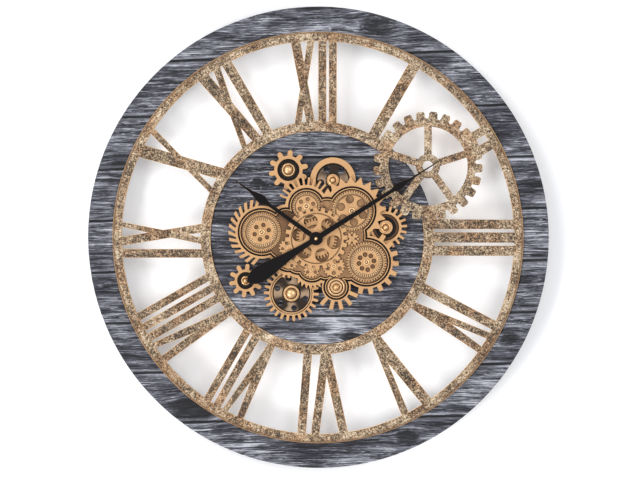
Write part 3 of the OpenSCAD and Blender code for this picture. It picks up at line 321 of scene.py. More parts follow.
@dataclass(frozen=True)
class PlankFinish(Finish):
    """Weathered slate-grey planks that run across the dial."""

    gaps: tuple[float, ...]
    tilt: float
    knots: tuple[Knot, ...]
    seed: int
    lift: float
    contrast: float = 1.3
    reach: float = 0.31
    gap_shade: float = 2.4 * MM
    ragged: float = 1.8 * MM
    tones: tuple[tuple[float, Colour], ...] = (
        (0.34, paint(23, 23, 28)), (0.43, paint(48, 48, 56)), (0.51, paint(82, 83, 92)),
        (0.59, paint(128, 129, 138)), (0.69, paint(190, 191, 198)),
    )
    worn: Colour = paint(196, 198, 205)
    soiled: Colour = paint(20, 20, 26)
    cracked: Colour = paint(14, 14, 19)
    knotted: Colour = paint(16, 16, 20)
    # Painted highlight: the lighter colour of the band along each gap between the planks.
    lip_highlight: Colour = paint(150, 152, 160)
    gap: Colour = paint(12, 11, 15)

    def plank_values(self) -> list[tuple[float, Colour]]:
        """Three random numbers for each plank.

        Returns:
            The start of each plank as a share of the dial, and its numbers.
        """
        dice = random.Random(self.seed)
        starts = [0.0] + sorted((gap + self.reach) / (2 * self.reach) for gap in self.gaps)
        return [(s, (dice.random(), dice.random(), dice.random(), 1.0)) for s in starts]

    def bend_round_knots(self, g: Graph, lifted: Socket) -> tuple[Socket, Value]:
        """Bends the grain round the knots.

        Args:
            g: The tree.
            lifted: Height at which the grain is read.

        Returns:
            That height bent round the knots, and how far a place is in a knot's heart.
        """
        burr = g.noise((130.0, 90.0, 260.0), 5.0, 0.75)
        heart: Value = 0.0
        for knot in self.knots:
            off_x = g.calc("DIVIDE", g.calc("SUBTRACT", g.x, knot.x), knot.radius * 1.7)
            off_z = g.calc("DIVIDE", g.calc("SUBTRACT", g.z, knot.z), knot.radius)
            square = g.calc("MULTIPLY_ADD", off_x, off_x, g.times(off_z, off_z))
            near = g.calc("EXPONENT", g.times(square, -0.9))
            lifted = g.calc("MULTIPLY_ADD", g.times(near, off_z), -0.75 * knot.radius, lifted)
            heart = g.calc("MAXIMUM", heart, g.level(g.weigh((square, 1.0), (burr, 1.8)), 1.9, 1.1))
        return lifted, heart

    def gap_edge(self, g: Graph, across: Socket) -> Value:
        """Finds the gaps between the planks.

        Args:
            g: The tree.
            across: Place across the planks.

        Returns:
            Distance to the nearest gap, ragged along it.
        """
        uneven = g.noise((60.0, 9.0, 40.0), 3.0, 0.7)
        place = g.weigh((across, 1.0), (uneven, self.ragged), (-self.ragged / 2, 1.0))
        edge: Value = 1.0
        for gap in self.gaps:
            edge = g.calc("MINIMUM", edge, g.calc("ABSOLUTE", g.calc("SUBTRACT", place, gap)))
        return edge

    def fill(self, g: Graph) -> None:
        """Fills the material's tree.

        Args:
            g: The tree.
        """
        across = g.weigh((g.z, 1.0), (g.x, -math.tan(self.tilt)))
        share = g.calc("DIVIDE", g.calc("ADD", across, self.reach), 2 * self.reach)
        plank = g.node("ShaderNodeSeparateColor", Color=g.ramp(share, self.plank_values(), True)).outputs
        bend = g.noise((4.0, 4.0, 9.0), 2.0)
        wave = g.noise((19.0, 19.0, 26.0), 1.0)
        lifted = g.weigh((across, 1.0), (bend, 7.0 * MM), (wave, 1.4 * MM), (g.x, 0.015))
        lifted, heart = self.bend_round_knots(g, lifted)
        grain = g.point(g.weigh((g.x, 1.0), (plank[0], 4.0)), g.times(plank[1], 3.0), lifted)
        fibre = g.noise((34.0, 12.0, 900.0), 5.0, 0.72, grain)
        streak = g.noise((7.0, 9.0, 210.0), 5.0, 0.66, grain)
        patch = g.noise((12.0, 9.0, 34.0), 5.0, 0.62, grain)
        flake = g.noise((120.0, 30.0, 620.0), 4.0, 0.65, grain)
        crack = g.calc("ABSOLUTE", g.calc("SUBTRACT", g.noise((5.0, 5.0, 75.0), 4.0, 0.6, grain), 0.5))
        split = g.level(crack, 0.014, 0.002)
        tone = g.weigh((fibre, 0.85), (streak, 0.5), (patch, 0.34), (plank[1], 0.1), (-0.89, 1.0))
        tone = g.calc("MULTIPLY_ADD", tone, self.contrast, 0.5 + self.lift)
        edge = self.gap_edge(g, across)
        groove = g.level(edge, self.gap_shade, self.gap_shade * 0.45)
        # Painted highlight: a lighter band along each gap, where the plank's rounded edge would catch the
        # light.
        highlight_band = g.level(edge, self.gap_shade * 2.6, self.gap_shade * 1.3)
        base = g.ramp(tone, self.tones)
        for mask, amount, colour in (
            (g.times(g.level(flake, 0.55, 0.68), g.level(patch, 0.44, 0.6)), 0.6, self.worn),
            (g.times(g.level(flake, 0.47, 0.36), g.level(patch, 0.58, 0.42)), 0.85, self.soiled),
            (split, 0.85, self.cracked),
            (heart, 0.9, self.knotted),
            (g.times(highlight_band, streak), 0.45, self.lip_highlight),
            (groove, 0.92, self.gap),
        ):
            base = g.mix(g.times(mask, amount), base, colour)
        relief = g.weigh((fibre, 0.5), (streak, 0.6), (split, -0.8), (groove, -0.6), (flake, 0.3))
        g.bump(relief, 0.9 * MM, 0.55)
        g.dress(Base_Color=base, Roughness=g.level(tone, 0.3, 0.7, 0.72, 0.5), Specular_IOR_Level=0.35)


@dataclass(frozen=True)
class SpeckleFinish(Finish):
    """Aged bronze with dark specks and cream wear, and painted shade in brown towards a rim if it has one."""

    lift: float = 0.0
    rim: float = 1.0
    rim_width: float = 3.2 * MM
    metallic: float = 0.15
    tones: tuple[tuple[float, Colour], ...] = (
        (0.37, paint(38, 31, 25)), (0.44, paint(90, 72, 54)), (0.51, paint(158, 132, 100)),
        (0.58, paint(198, 176, 146)), (0.68, paint(228, 216, 196)),
    )
    warm: Colour = paint(226, 176, 116)
    # Painted shade: the brown that the sheet darkens to towards its rim.
    rim_shade: Colour = paint(104, 74, 46)

    def fill(self, g: Graph) -> None:
        """Fills the material's tree.

        Args:
            g: The tree.
        """
        grain = g.noise((760.0,) * 3, 3.0, 0.75)
        blot = g.noise((330.0,) * 3, 4.0, 0.72, distortion=0.5)
        cloud = g.noise((26.0,) * 3, 4.0, 0.6)
        drift = g.noise((70.0,) * 3, 4.0, 0.65, distortion=1.0)
        tone = g.weigh((grain, 0.8), (blot, 0.6), (drift, 0.3), (cloud, 0.22), (self.lift - 0.465, 1.0))
        blush = g.level(g.noise((44.0,) * 3, 3.0, 0.6), 0.45, 0.62)
        colour = g.mix(g.times(blush, 0.45), g.ramp(tone, self.tones), self.warm, "MULTIPLY")
        # Painted shade: brown darkening towards the rim, where the band's rounded outer edge turns from the
        # light.
        if self.rim < 1.0:
            reach = g.length(g.x, g.z)
            near_rim_shade = g.level(g.weigh((reach, 1.0), (blot, 2.0 * MM)), self.rim - self.rim_width, self.rim)
            colour = g.mix(g.times(near_rim_shade, 0.85), colour, self.rim_shade)
        g.bump(g.weigh((grain, 0.6), (blot, 0.5)), 0.35 * MM, 0.6)
        g.dress(
            Base_Color=colour, Metallic=self.metallic, Roughness=g.level(tone, 0.4, 0.6, 0.62, 0.46),
        )


@dataclass(frozen=True)
class CastFinish(Finish):
    """Antique gold cast resin, rubbed bright on top and dark where the wax stayed, with painted shade
    darkening its crevices.
    """

    gold: Colour
    wax: Colour
    wear: float
    metallic: float = 0.5
    # How far the painted crevice shade reaches, and how dark it gets.
    crevice: float = 3.0 * MM
    depth: float = 0.85
    # Dark brown of wax left in the hollows, also used as painted shade.
    soot_and_shade: Colour = paint(44, 27, 15)
    shade: tuple[float, float] = (0.97, 0.53)
    samples: int = 6

    def fill(self, g: Graph) -> None:
        """Fills the material's tree.

        Args:
            g: The tree.
        """
        cloud = g.noise((42.0,) * 3, 4.0, 0.62)
        grit = g.noise((430.0,) * 3, 3.0, 0.6)
        # Painted shade: occlusion near other faces darkens the colour towards dark brown, both for wax left
        # in the hollows and for the shade that falls there.
        closed = g.node("ShaderNodeAmbientOcclusion", Distance=self.crevice)
        closed.samples = self.samples
        closed.only_local = True
        crevice_shade = g.level(closed.outputs["AO"], *self.shade)
        stain = g.level(g.weigh((cloud, 0.75), (grit, 0.25)), self.wear, self.wear + 0.22)
        colour = g.mix(g.times(stain, 0.7), self.gold, self.wax)
        colour = g.mix(g.times(crevice_shade, self.depth), colour, self.soot_and_shade)
        g.bump(g.weigh((grit, 0.6), (cloud, 0.4)), 0.25 * MM, 0.35)
        g.dress(
            Base_Color=colour, Metallic=self.metallic, Roughness=g.level(cloud, 0.3, 0.7, 0.34, 0.5),
        )


@dataclass(frozen=True)
class PaintedSheenFinish(Finish):
    """Dark turned metal with a painted sheen that comes and goes round an axis that stands on the dial."""

    x: float
    z: float
    lobes: float
    # The painted sheen blends from the dark colour to the light one.
    dark: Colour = paint(46, 35, 27)
    light: Colour = paint(172, 144, 116)

    def fill(self, g: Graph) -> None:
        """Fills the material's tree.

        Args:
            g: The tree.
        """
        across, up = g.calc("SUBTRACT", g.x, self.x), g.calc("SUBTRACT", g.z, self.z)
        angle = g.calc("ARCTAN2", up, across)
        reach = g.length(across, up)
        uneven = g.noise((60.0,) * 3, 2.0)
        # Painted sheen: lighter lobes round the axis, as turned metal reflects the light.
        sheen_swing = g.calc("SINE", g.weigh((angle, self.lobes), (uneven, 4.0)))
        line = g.noise((2200.0, 0.0, 0.0), 2.0, 0.6, g.point(reach, 0.0, 0.0))
        tone = g.weigh((sheen_swing, 0.3), (line, 0.3), (uneven, 0.5))
        colour = g.mix(g.level(tone, 0.15, 0.75), self.dark, self.light)
        g.bump(line, 0.05 * MM, 0.5)
        g.dress(Base_Color=colour, Metallic=0.6, Roughness=0.42)


@dataclass(frozen=True)
class PaintFinish(Finish):
    """A plain painted or moulded surface with a fine texture of its own."""

    colour: Colour
    roughness: float
    grain: float
    depth: float
    metallic: float = 0.0
    vary: float = 0.12
    shine: float = 0.5

    def fill(self, g: Graph) -> None:
        """Fills the material's tree.

        Args:
            g: The tree.
        """
        fine = g.noise((self.grain,) * 3, 2.0, 0.6)
        cloud = g.noise((self.grain / 30,) * 3, 3.0, 0.6)
        darker = tuple(c * (1.0 - 2.2 * self.vary) for c in self.colour[:3]) + (1.0,)
        colour = g.mix(g.level(cloud, 0.35, 0.7), self.colour, darker)
        g.bump(fine, self.depth, 0.5)
        g.dress(
            Base_Color=colour, Metallic=self.metallic,
            Roughness=g.level(fine, 0.3, 0.7, self.roughness * 0.9, min(1.0, self.roughness * 1.12)),
            Specular_IOR_Level=self.shine,
        )


@dataclass(frozen=True)
class MetalFinish(Finish):
    """Bare or polished metal with faint scratches round its axis."""

    colour: Colour
    roughness: float
    stain: Colour
    stained: float = 0.35

    def fill(self, g: Graph) -> None:
        """Fills the material's tree.

        Args:
            g: The tree.
        """
        scratch = g.noise((900.0, 60.0, 900.0), 2.0, 0.6)
        cloud = g.noise((150.0,) * 3, 3.0, 0.6)
        colour = g.mix(g.times(g.level(cloud, 0.45, 0.75), self.stained), self.colour, self.stain)
        g.bump(scratch, 0.03 * MM, 0.5)
        g.dress(
            Base_Color=colour, Metallic=1.0,
            Roughness=g.level(scratch, 0.3, 0.7, self.roughness * 0.8, self.roughness * 1.25),
        )


TILT = math.radians(1.8)
RING_WOOD = PlankFinish(
    "ring_planks", Slot.WOOD,
    gaps=(0.2400, 0.1678, 0.0991, 0.0311, -0.0375, -0.1055, -0.1726, -0.2400), tilt=TILT,
    knots=(Knot(0.081, 0.281, 0.017), Knot(-0.166, -0.229, 0.022), Knot(0.254, -0.131, 0.010),
           Knot(-0.262, 0.095, 0.009), Knot(0.120, -0.262, 0.012)),
    seed=47, lift=-0.02,
)
DISC_WOOD = PlankFinish(
    "disc_planks", Slot.WOOD, gaps=(0.1068, 0.0360, -0.0342, -0.1031), tilt=0.0,
    knots=(Knot(-0.078, 0.073, 0.008), Knot(0.104, 0.060, 0.010), Knot(0.045, -0.130, 0.009)), seed=3601,
    lift=-0.024,
)
BOARD_BACK = PaintFinish("board_back", Slot.WOOD, paint(52, 45, 40), 0.85, 900.0, 0.2 * MM)
SHEET = SpeckleFinish("speckled_bronze", Slot.SHEET)
SHEET_DARK = SpeckleFinish("speckled_bronze_dark", Slot.SHEET, lift=-0.035)
# The outer band's sheet, with painted shade towards its outer rim.
SHEET_SHADED_RIM = SpeckleFinish("speckled_bronze_shaded_rim", Slot.SHEET, lift=-0.012, rim=272.0 * MM)
# Painted highlight: bright gold on the sheet's cut edges and rounded corners, where they catch the light.
SHEET_EDGE_HIGHLIGHT = CastFinish(
    "highlit_bronze_edge", Slot.SHEET, gold=paint(206, 164, 112), wax=paint(128, 92, 58), wear=0.5, depth=0.3,
)
GOLD = CastFinish(
    "rubbed_gold", Slot.GOLD, gold=paint(206, 160, 112), wax=paint(140, 101, 64), wear=0.51,
    crevice=4.2 * MM,
)
# Rubbed gold on rounded edges and fine bars, brightened as a painted highlight where edges catch the light.
GOLD_EDGE_WEAR_AND_HIGHLIGHT = CastFinish(
    "worn_and_highlit_gold_edge", Slot.GOLD, gold=paint(232, 190, 140), wax=paint(182, 136, 90), wear=0.6,
    crevice=1.0 * MM,
)
PATINA = CastFinish("waxed_floor", Slot.GOLD, gold=paint(164, 124, 86), wax=paint(88, 62, 42), wear=0.43)
DEEP = CastFinish("deep_wax", Slot.GOLD, gold=paint(84, 58, 38), wax=paint(40, 28, 20), wear=0.42)
# Painted shade: the waxed floor of the holes through the beaded reliefs, darker than the open floor.
SHADED_HOLE = CastFinish("shaded_waxed_hole", Slot.GOLD, gold=paint(124, 90, 60), wax=paint(66, 46, 31), wear=0.44)
RECESS = PaintFinish("black_recess", Slot.GOLD, paint(24, 19, 16), 0.55, 500.0, 0.1 * MM, shine=0.15)
BRASS = MetalFinish("satin_brass", Slot.BRASS, paint(228, 188, 140), 0.42, paint(192, 148, 102), 0.25)
HAND = PaintFinish("satin_black", Slot.HANDS, paint(15, 12, 11), 0.38, 700.0, 0.02 * MM, shine=0.14)
# Painted highlight: brown on the hands' rounded edges.
HAND_EDGE_HIGHLIGHT = PaintFinish("highlit_black_edge", Slot.HANDS, paint(92, 62, 42), 0.4, 700.0, 0.02 * MM, 0.3)
BLACK = PaintFinish("black_moulding", Slot.BLACK_PLASTIC, paint(30, 30, 32), 0.55, 1400.0, 0.06 * MM)
WHITE = PaintFinish(
    "natural_nylon", Slot.WHITE_PLASTIC, paint(226, 224, 214), 0.5, 900.0, 0.03 * MM, 0.0, 0.04,
)
STEEL = MetalFinish("bright_steel", Slot.STEEL, paint(196, 198, 202), 0.32, paint(140, 140, 144))
RUBBER = PaintFinish("rubber_foot", Slot.RUBBER, paint(26, 26, 27), 0.85, 1600.0, 0.08 * MM)
WRAP = PaintFinish("cell_wrap", Slot.CELL, paint(196, 112, 40), 0.35, 500.0, 0.02 * MM, 0.3)


class Form:
    """A mesh in the making that becomes one piece of the clock."""

    def __init__(self, bm: bmesh.types.BMesh | None = None) -> None:
        """Starts from a mesh, or from nothing."""
        self.bm = bm or bmesh.new()

    @classmethod
    def of_node(cls, node: str) -> "Form":
        """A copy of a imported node, merged into whole faces.

        Args:
            node: The node's name.

        Returns:
            The form.
        """
        bm = bmesh.new()
        bm.from_mesh(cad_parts[node].data)
        bmesh.ops.remove_doubles(bm, verts=bm.verts, dist=SAME_POINT)
        bmesh.ops.dissolve_limit(bm, angle_limit=FLAT_ANGLE, verts=bm.verts, edges=bm.edges)
        return cls(bm)

    def bevel(self, width: float) -> "Form":
        """Rounds the sharp edges.

        Args:
            width: Width of the rounding.

        Returns:
            The form itself.
        """
        edges = [e for e in self.bm.edges if e.is_manifold and e.calc_face_angle(0.0) > SHARP_ANGLE]
        bmesh.ops.bevel(
            self.bm, geom=edges, offset=width, offset_type="OFFSET", affect="EDGES",
            segments=ROUNDING_STEPS, profile=0.5, material=-1, clamp_overlap=True,
        )
        return self

    def lathe(self, x: float, z: float, profile: Sequence[tuple[float, float]], steps: int = 64) -> "Form":
        """Turns a profile about an axis that stands on the dial.

        Args:
            x: Place of the axis to the right.
            z: Place of the axis upwards.
            profile: Radius and height of each corner, from one pole to the other.
            steps: Steps in a full turn.

        Returns:
            The form itself.
        """
        turned = bmesh.new()
        verts = [turned.verts.new((x + r, -h, z)) for r, h in profile]
        edges = [turned.edges.new(pair) for pair in zip(verts, verts[1:])]
        bmesh.ops.spin(
            turned, geom=verts + edges, cent=(x, 0.0, z), axis=(0.0, 1.0, 0.0), dvec=(0.0, 0.0, 0.0),
            angle=2 * math.pi, steps=steps, use_merge=True, use_duplicate=False,
        )
        bmesh.ops.remove_doubles(turned, verts=turned.verts, dist=SAME_POINT / 2)
        bmesh.ops.recalc_face_normals(turned, faces=turned.faces)
        return self.add(turned)

    def add(self, other: bmesh.types.BMesh) -> "Form":
        """Takes another mesh in and frees it.

        Args:
            other: The mesh.

        Returns:
            The form itself.
        """
        mesh = bpy.data.meshes.new("part")
        other.to_mesh(mesh)
        other.free()
        self.bm.from_mesh(mesh)
        bpy.data.meshes.remove(mesh)
        return self

    def piece(
        self, name: str, body: Body, finishes: Sequence[Finish], rule: Rule | None = None,
        replaces: Sequence[str] = (),
    ) -> None:
        """Makes the object and hangs it on its body.

        Args:
            name: Name of the piece.
            body: The body that it rides on.
            finishes: Its finishes, the main one first.
            rule: Says which finish a face gets.
            replaces: Nodes that it stands for.
        """
        for face in self.bm.faces:
            face.smooth = True
            if rule:
                face.material_index = finishes.index(rule(face))
        mesh = bpy.data.meshes.new(name)
        self.bm.to_mesh(mesh)
        self.bm.free()
        mesh.set_sharp_from_angle(angle=CREASE_ANGLE)
        for finish in finishes:
            mesh.materials.append(finish.material())
        made = bpy.data.objects.new(name, mesh)
        bpy.context.scene.collection.objects.link(made)
        made.modifiers.new("even_shading", "WEIGHTED_NORMAL").keep_sharp = True
        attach(made, body.value)
        if replaces:
            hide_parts(*replaces)
        LOG.info("%s: %d faces on %s", name, len(mesh.polygons), body.value)


def is_edge(face: bmesh.types.BMFace) -> bool:
    """Whether a face is part of a rounded edge."""
    return 0.12 < abs(face.normal.y) < 0.93


def off_axis(face: bmesh.types.BMFace, x: float = 0.0, z: float = 0.0) -> float:
    """How far a face's middle is from an axis that stands on the dial."""
    middle = face.calc_center_median()
    return math.hypot(middle.x - x, middle.z - z)


def is_front(face: bmesh.types.BMFace) -> bool:
    """Whether a face looks out from the wall."""
    return face.normal.y < -FACING


def height(face: bmesh.types.BMFace) -> float:
    """Height of a face's middle above the wall."""
    return -face.calc_center_median().y


def axis_of(node: str) -> tuple[float, float, float]:
    """Where a round node stands, to the right and upwards, and the height of its top."""
    low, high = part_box(node)
    return (low.x + high.x) / 2, (low.z + high.z) / 2, -low.y


def carry(node: str, finish: Finish, width: float) -> None:
    """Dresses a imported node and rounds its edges.

    Args:
        node: The node's name.
        finish: Its finish.
        width: Width of the rounding.
    """
    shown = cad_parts[node]
    for slot in shown.material_slots:
        slot.material = finish.material()
    shown.modifiers.new("weld", "WELD").merge_threshold = SAME_POINT
    rounding = shown.modifiers.new("rounding", "BEVEL")
    rounding.width = width
    rounding.segments = ROUNDING_STEPS
    rounding.limit_method = "ANGLE"
    rounding.angle_limit = SHARP_ANGLE
    for face in shown.data.polygons:
        face.use_smooth = True
    shown.modifiers.new("even_shading", "WEIGHTED_NORMAL").keep_sharp = True
    LOG.info("%s: carried over in %s", node, finish.name)


@dataclass
class Boards:
    """The wooden ring and disc."""

    edge: float = 0.5 * MM
    front: float = 0.3

    def side(self, planks: Finish) -> Rule:
        """Planks on the front, bare board behind."""
        return lambda face: planks if face.normal.y < -self.front else BOARD_BACK

    def build(self) -> None:
        """Makes both boards."""
        for node, planks in (("wood_ring", RING_WOOD), ("centre_disc", DISC_WOOD)):
            form = Form.of_node(node).bevel(self.edge)
            form.piece(node + "_planks", Body.CLOCK, (planks, BOARD_BACK), self.side(planks), (node,))


@dataclass
class DialSheet:
    """The cut sheet: two bands, twelve numerals and the open gear."""

    edge: float = 0.5 * MM
    tuck: float = 0.9 * MM
    seams: tuple[tuple[float, float], ...] = ((259.7 * MM, 1.0), (154.3 * MM, -1.0), (160.3 * MM, -1.0))
    near: float = 0.05 * MM
    gear_x: float = 146.35 * MM
    gear_z: float = 95.04 * MM
    gear_root: float = 62.4 * MM
    gear_tip: float = 72.2 * MM

    def tuck_under(self, form: Form, numeral: bool) -> None:
        """Moves the seams under the neighbour's face, so that the pieces read as one sheet.

        Args:
            form: The piece's form.
            numeral: Whether it ends at both bands.
        """
        centre = Vector((self.gear_x, 0.0, self.gear_z))
        for vert in form.bm.verts:
            flat = Vector((vert.co.x, 0.0, vert.co.z))
            reach = flat.length
            for radius, side in self.seams if numeral else ():
                if abs(reach - radius) < self.near:
                    vert.co += flat * (side * self.tuck / reach)
            away = flat - centre
            if self.gear_root < away.length < self.gear_tip:
                vert.co -= away * (self.tuck / away.length)

    @staticmethod
    def rule(front: Finish) -> Rule:
        """Painted highlight in bright metal on the cut edges."""
        return lambda face: SHEET_EDGE_HIGHLIGHT if is_edge(face) or abs(face.normal.y) < 0.5 else front

    def build(self) -> None:
        """Makes the pieces of the sheet."""
        hours = ("i", "ii", "iii", "iv", "v", "vi", "vii", "viii", "ix", "x", "xi", "xii")
        for node in ("outer_band", "inner_band", "open_gear", *("numeral_" + h for h in hours)):
            form = Form.of_node(node)
            if node not in ("outer_band", "open_gear"):
                self.tuck_under(form, node.startswith("numeral"))
            form.bevel(self.edge)
            front = SHEET_DARK if node.startswith("numeral") else SHEET_SHADED_RIM if node == "outer_band" else SHEET
            form.piece(node + "_sheet", Body.CLOCK, (front, SHEET_EDGE_HIGHLIGHT), self.rule(front), (node,))


def disc(radius: float, foot: float, rise: float) -> list[tuple[float, float]]:
    """The profile of a round plate or stud from its top down to its underside."""
    return [(0.0, foot + rise), (radius, foot + rise), (radius, foot), (0.0, foot)]


def washer(inner: float, outer: float, foot: float, rise: float) -> list[tuple[float, float]]:
    """The closed profile of a flat ring on its underside's height."""
    return [(inner, foot), (inner, foot + rise), (outer, foot + rise), (outer, foot), (inner, foot)]


def hoop(radius: float, half: float, foot: float, rise: float) -> list[tuple[float, float]]:
    """The profile of a low round hoop.

    Args:
        radius: Radius of its middle line.
        half: Half its width.
        foot: Height of the face that it lies on.
        rise: How far it stands up from there.

    Returns:
        The corners of the profile, closed.
    """
    sunk = -0.1 * MM
    sides = [(-1.0, sunk), (-1.0, 0.2 * rise), (-0.6, 0.8 * rise), (0.0, rise), (0.6, 0.8 * rise),
             (1.0, 0.2 * rise), (1.0, sunk), (-1.0, sunk)]
    return [(radius + half * side, foot + up) for side, up in sides]


def dome(radius: float, foot: float, rise: float) -> list[tuple[float, float]]:
    """The profile of a dome from its top out to its foot."""
    turns = [i * math.pi / 2 / DOME_STEPS for i in range(DOME_STEPS + 1)]
    return [(radius * math.sin(a), foot + rise * math.cos(a)) for a in turns] + [(0.0, foot)]


@dataclass
class Relief:
    """A gear cast on the cover: its middle, tip radius and boss, and how its face is worked."""

    x: float
    z: float
    tip: float
    boss: float
    bars: int = 0
    beaded: bool = False


@dataclass(frozen=True)
class BarRow:
    """A row of fine bars on a relief: its radii as shares of the tip, a bar's width as a share of the
    pitch, its slant in radians, its share of the full rise, and how many steps of the pitch it takes."""

    inner: float
    outer: float
    width: float
    lean: float = 0.0
    rise: float = 1.0
    steps: int = 1

    def mesh(self, r: Relief, foot: float, rise: float) -> bmesh.types.BMesh:
        """Makes the bars.

        Args:
            r: The relief that they are on.
            foot: Height of their foot.
            rise: Their full rise.

        Returns:
            The mesh.
        """
        ring = bmesh.new()
        tall, count = rise * self.rise, r.bars // self.steps
        wide = 2 * math.pi * r.tip / r.bars * self.width
        shape = Matrix.Diagonal((r.tip * (self.outer - self.inner), tall, wide, 1.0))
        middle = Matrix.Translation((r.tip * (self.inner + self.outer) / 2, 0.0, 0.0))
        for i in range(count):
            place = (
                Matrix.Translation((r.x, -foot - tall / 2, r.z))
                @ Matrix.Rotation(i * 2 * math.pi / count, 4, "Y")
                @ middle
                @ Matrix.Rotation(self.lean, 4, "Y")
            )
            bmesh.ops.create_cube(ring, size=1.0, matrix=place @ shape)
        return ring


@dataclass
class GearCover:
    """The cast cover with its reliefs, pillars and nut."""

    face: float = 43.8 * MM
    relief_top: float = 44.8 * MM
    edge: float = 0.2 * MM
    pillar_edge: float = 0.3 * MM
    groove: float = 0.5 * MM
    skirt: float = 1.2 * MM
    near: float = 0.3 * MM
    hub_groove: tuple[float, float] = (31.9 * MM, 34.0 * MM)
    hub_rise: float = 1.5 * MM
    flush: float = 0.1 * MM
    hole_reach: float = 0.8
    bed: float = 0.07 * MM
    bar_rise: float = 0.42 * MM
    boss_rise: float = 0.5 * MM
    pin: float = 1.5 * MM
    pin_rise: float = 0.7 * MM
    bar_beds: tuple[tuple[float, float], ...] = ((0.848, 0.918), (0.60, 0.75))
    bar_rows: tuple[BarRow, ...] = (
        BarRow(0.852, 0.914, 0.42), BarRow(0.655, 0.735, 0.62, lean=0.55, steps=2),
        BarRow(0.607, 0.637, 0.5, rise=0.8, steps=2),
    )
    bead_hoops: tuple[float, ...] = (0.758, 0.646, 0.592)
    bead_hoop_half: float = 0.28 * MM
    bead_hoop_rise: float = 0.4 * MM
    nut_radius: float = 4.3 * MM
    nut_washer: float = 7.6 / 4.3
    nut_beds: tuple[tuple[float, float], ...] = ((4.5 * MM, 5.5 * MM), (7.9 * MM, 9.3 * MM))
    nut_hoop: tuple[float, float, float] = (10.0 * MM, 0.7 * MM, 0.5 * MM)
    stud: tuple[float, float, float] = (1.6 * MM, 28.6 * MM, 15.3 * MM)
    reliefs: tuple[Relief, ...] = (
        Relief(-72.23 * MM, 8.1 * MM, 25.65 * MM, 4.1 * MM, 84, True),
        Relief(-13.05 * MM, 42.3 * MM, 18.23 * MM, 4.37 * MM, 60),
        Relief(46.8 * MM, 36.45 * MM, 26.33 * MM, 4.21 * MM, 84),
        Relief(65.93 * MM, -31.05 * MM, 26.33 * MM, 3.95 * MM, 84, True),
        Relief(46.8 * MM, -0.45 * MM, 9.23 * MM, 2.4 * MM),
        Relief(22.95 * MM, -36.9 * MM, 14.4 * MM, 3.46 * MM),
        Relief(-6.53 * MM, -41.4 * MM, 10.58 * MM, 2.54 * MM),
        Relief(-35.78 * MM, -30.15 * MM, 11.93 * MM, 2.86 * MM),
        Relief(-38.48 * MM, -12.6 * MM, 11.25 * MM, 2.7 * MM),
    )

    def rim_faces(self, form: Form) -> set[int]:
        """The faces of the bright rim, found by growing from the cover's left end.

        Args:
            form: The cover's form.

        Returns:
            Their numbers.
        """
        form.bm.faces.ensure_lookup_table()
        level = [f for f in form.bm.faces if is_front(f) and abs(height(f) - self.face) < self.flush]
        ids = {f.index for f in level}
        start = min(level, key=lambda f: min(v.co.x for v in f.verts))
        found, front = {start.index}, [start]
        while front:
            face = front.pop()
            for edge in face.edges:
                for other in edge.link_faces:
                    if other.index in ids and other.index not in found:
                        found.add(other.index)
                        front.append(other)
        return found

    def in_hole(self, face: bmesh.types.BMFace) -> bool:
        """Whether a face is in one of the holes through a beaded relief, whose floor is darkened as painted
        shade.
        """
        return any(
            r.beaded and r.boss < off_axis(face, r.x, r.z) < r.tip * self.hole_reach for r in self.reliefs
        )

    def coat(self, face: bmesh.types.BMFace) -> Finish:
        """Gold on top, wax below, black in the grooves.

        Args:
            face: A face of the cover that isn't part of the rim.

        Returns:
            Its finish.
        """
        level = height(face)
        if is_front(face):
            if level < self.face - self.groove:
                return RECESS
            inner, outer = self.hub_groove
            if inner < off_axis(face) < outer and level < self.face + self.hub_rise:
                return RECESS
            if level > self.relief_top - self.near:
                return GOLD
            # Hole floors get painted shade.
            return SHADED_HOLE if level < self.face + self.flush and self.in_hole(face) else PATINA
        # Rounded edges up at the face: worn gold with a painted highlight.
        if is_edge(face):
            return GOLD_EDGE_WEAR_AND_HIGHLIGHT if level > self.face - self.near else RECESS
        return RECESS if self.face - self.skirt < level < self.face else PATINA

    def build(self) -> None:
        """Makes the cover and what is on it."""
        form = Form.of_node("gear_cover").bevel(self.edge)
        form.bm.faces.index_update()
        rim = self.rim_faces(form)
        form.piece(
            "gear_cover_cast", Body.CLOCK, (GOLD, GOLD_EDGE_WEAR_AND_HIGHLIGHT, PATINA, RECESS, SHADED_HOLE),
            lambda face: GOLD if face.index in rim else self.coat(face), ("gear_cover",),
        )
        self.work_reliefs()
        carry("cover_pillars", BLACK, self.pillar_edge)
        DomedNut("cover_nut", Body.CLOCK, self.nut_radius, self.face, self.nut_washer, self.stud).build()

    def work_reliefs(self) -> None:
        """Makes the rows of fine bars on the reliefs, the dark beds under them and the pins."""
        beds, rows, pins = Form(), Form(), Form()
        crest = self.relief_top + self.boss_rise
        for r in self.reliefs:
            rows.lathe(r.x, r.z, hoop(r.boss * 0.8, r.boss * 0.2, crest, self.boss_rise), BOSS_STEPS)
            beds.lathe(r.x, r.z, disc(r.boss * 0.72, crest, self.bed), BOSS_STEPS)
            pins.lathe(r.x, r.z, dome(min(self.pin, r.boss * 0.42), crest, self.pin_rise), SMALL_STEPS)
            if r.bars:
                self.work_bars(r, beds, rows)
        x, z, _ = axis_of("cover_nut")
        for inner, outer in self.nut_beds:
            beds.lathe(x, z, washer(inner, outer, self.face, self.bed))
        radius, half, rise = self.nut_hoop
        rows.lathe(x, z, hoop(radius, half, self.face, rise))
        beds.piece("relief_beds", Body.CLOCK, (DEEP,))
        rows.piece("relief_rows", Body.CLOCK, (GOLD_EDGE_WEAR_AND_HIGHLIGHT,))
        pins.piece("relief_pins", Body.CLOCK, (BRASS,))

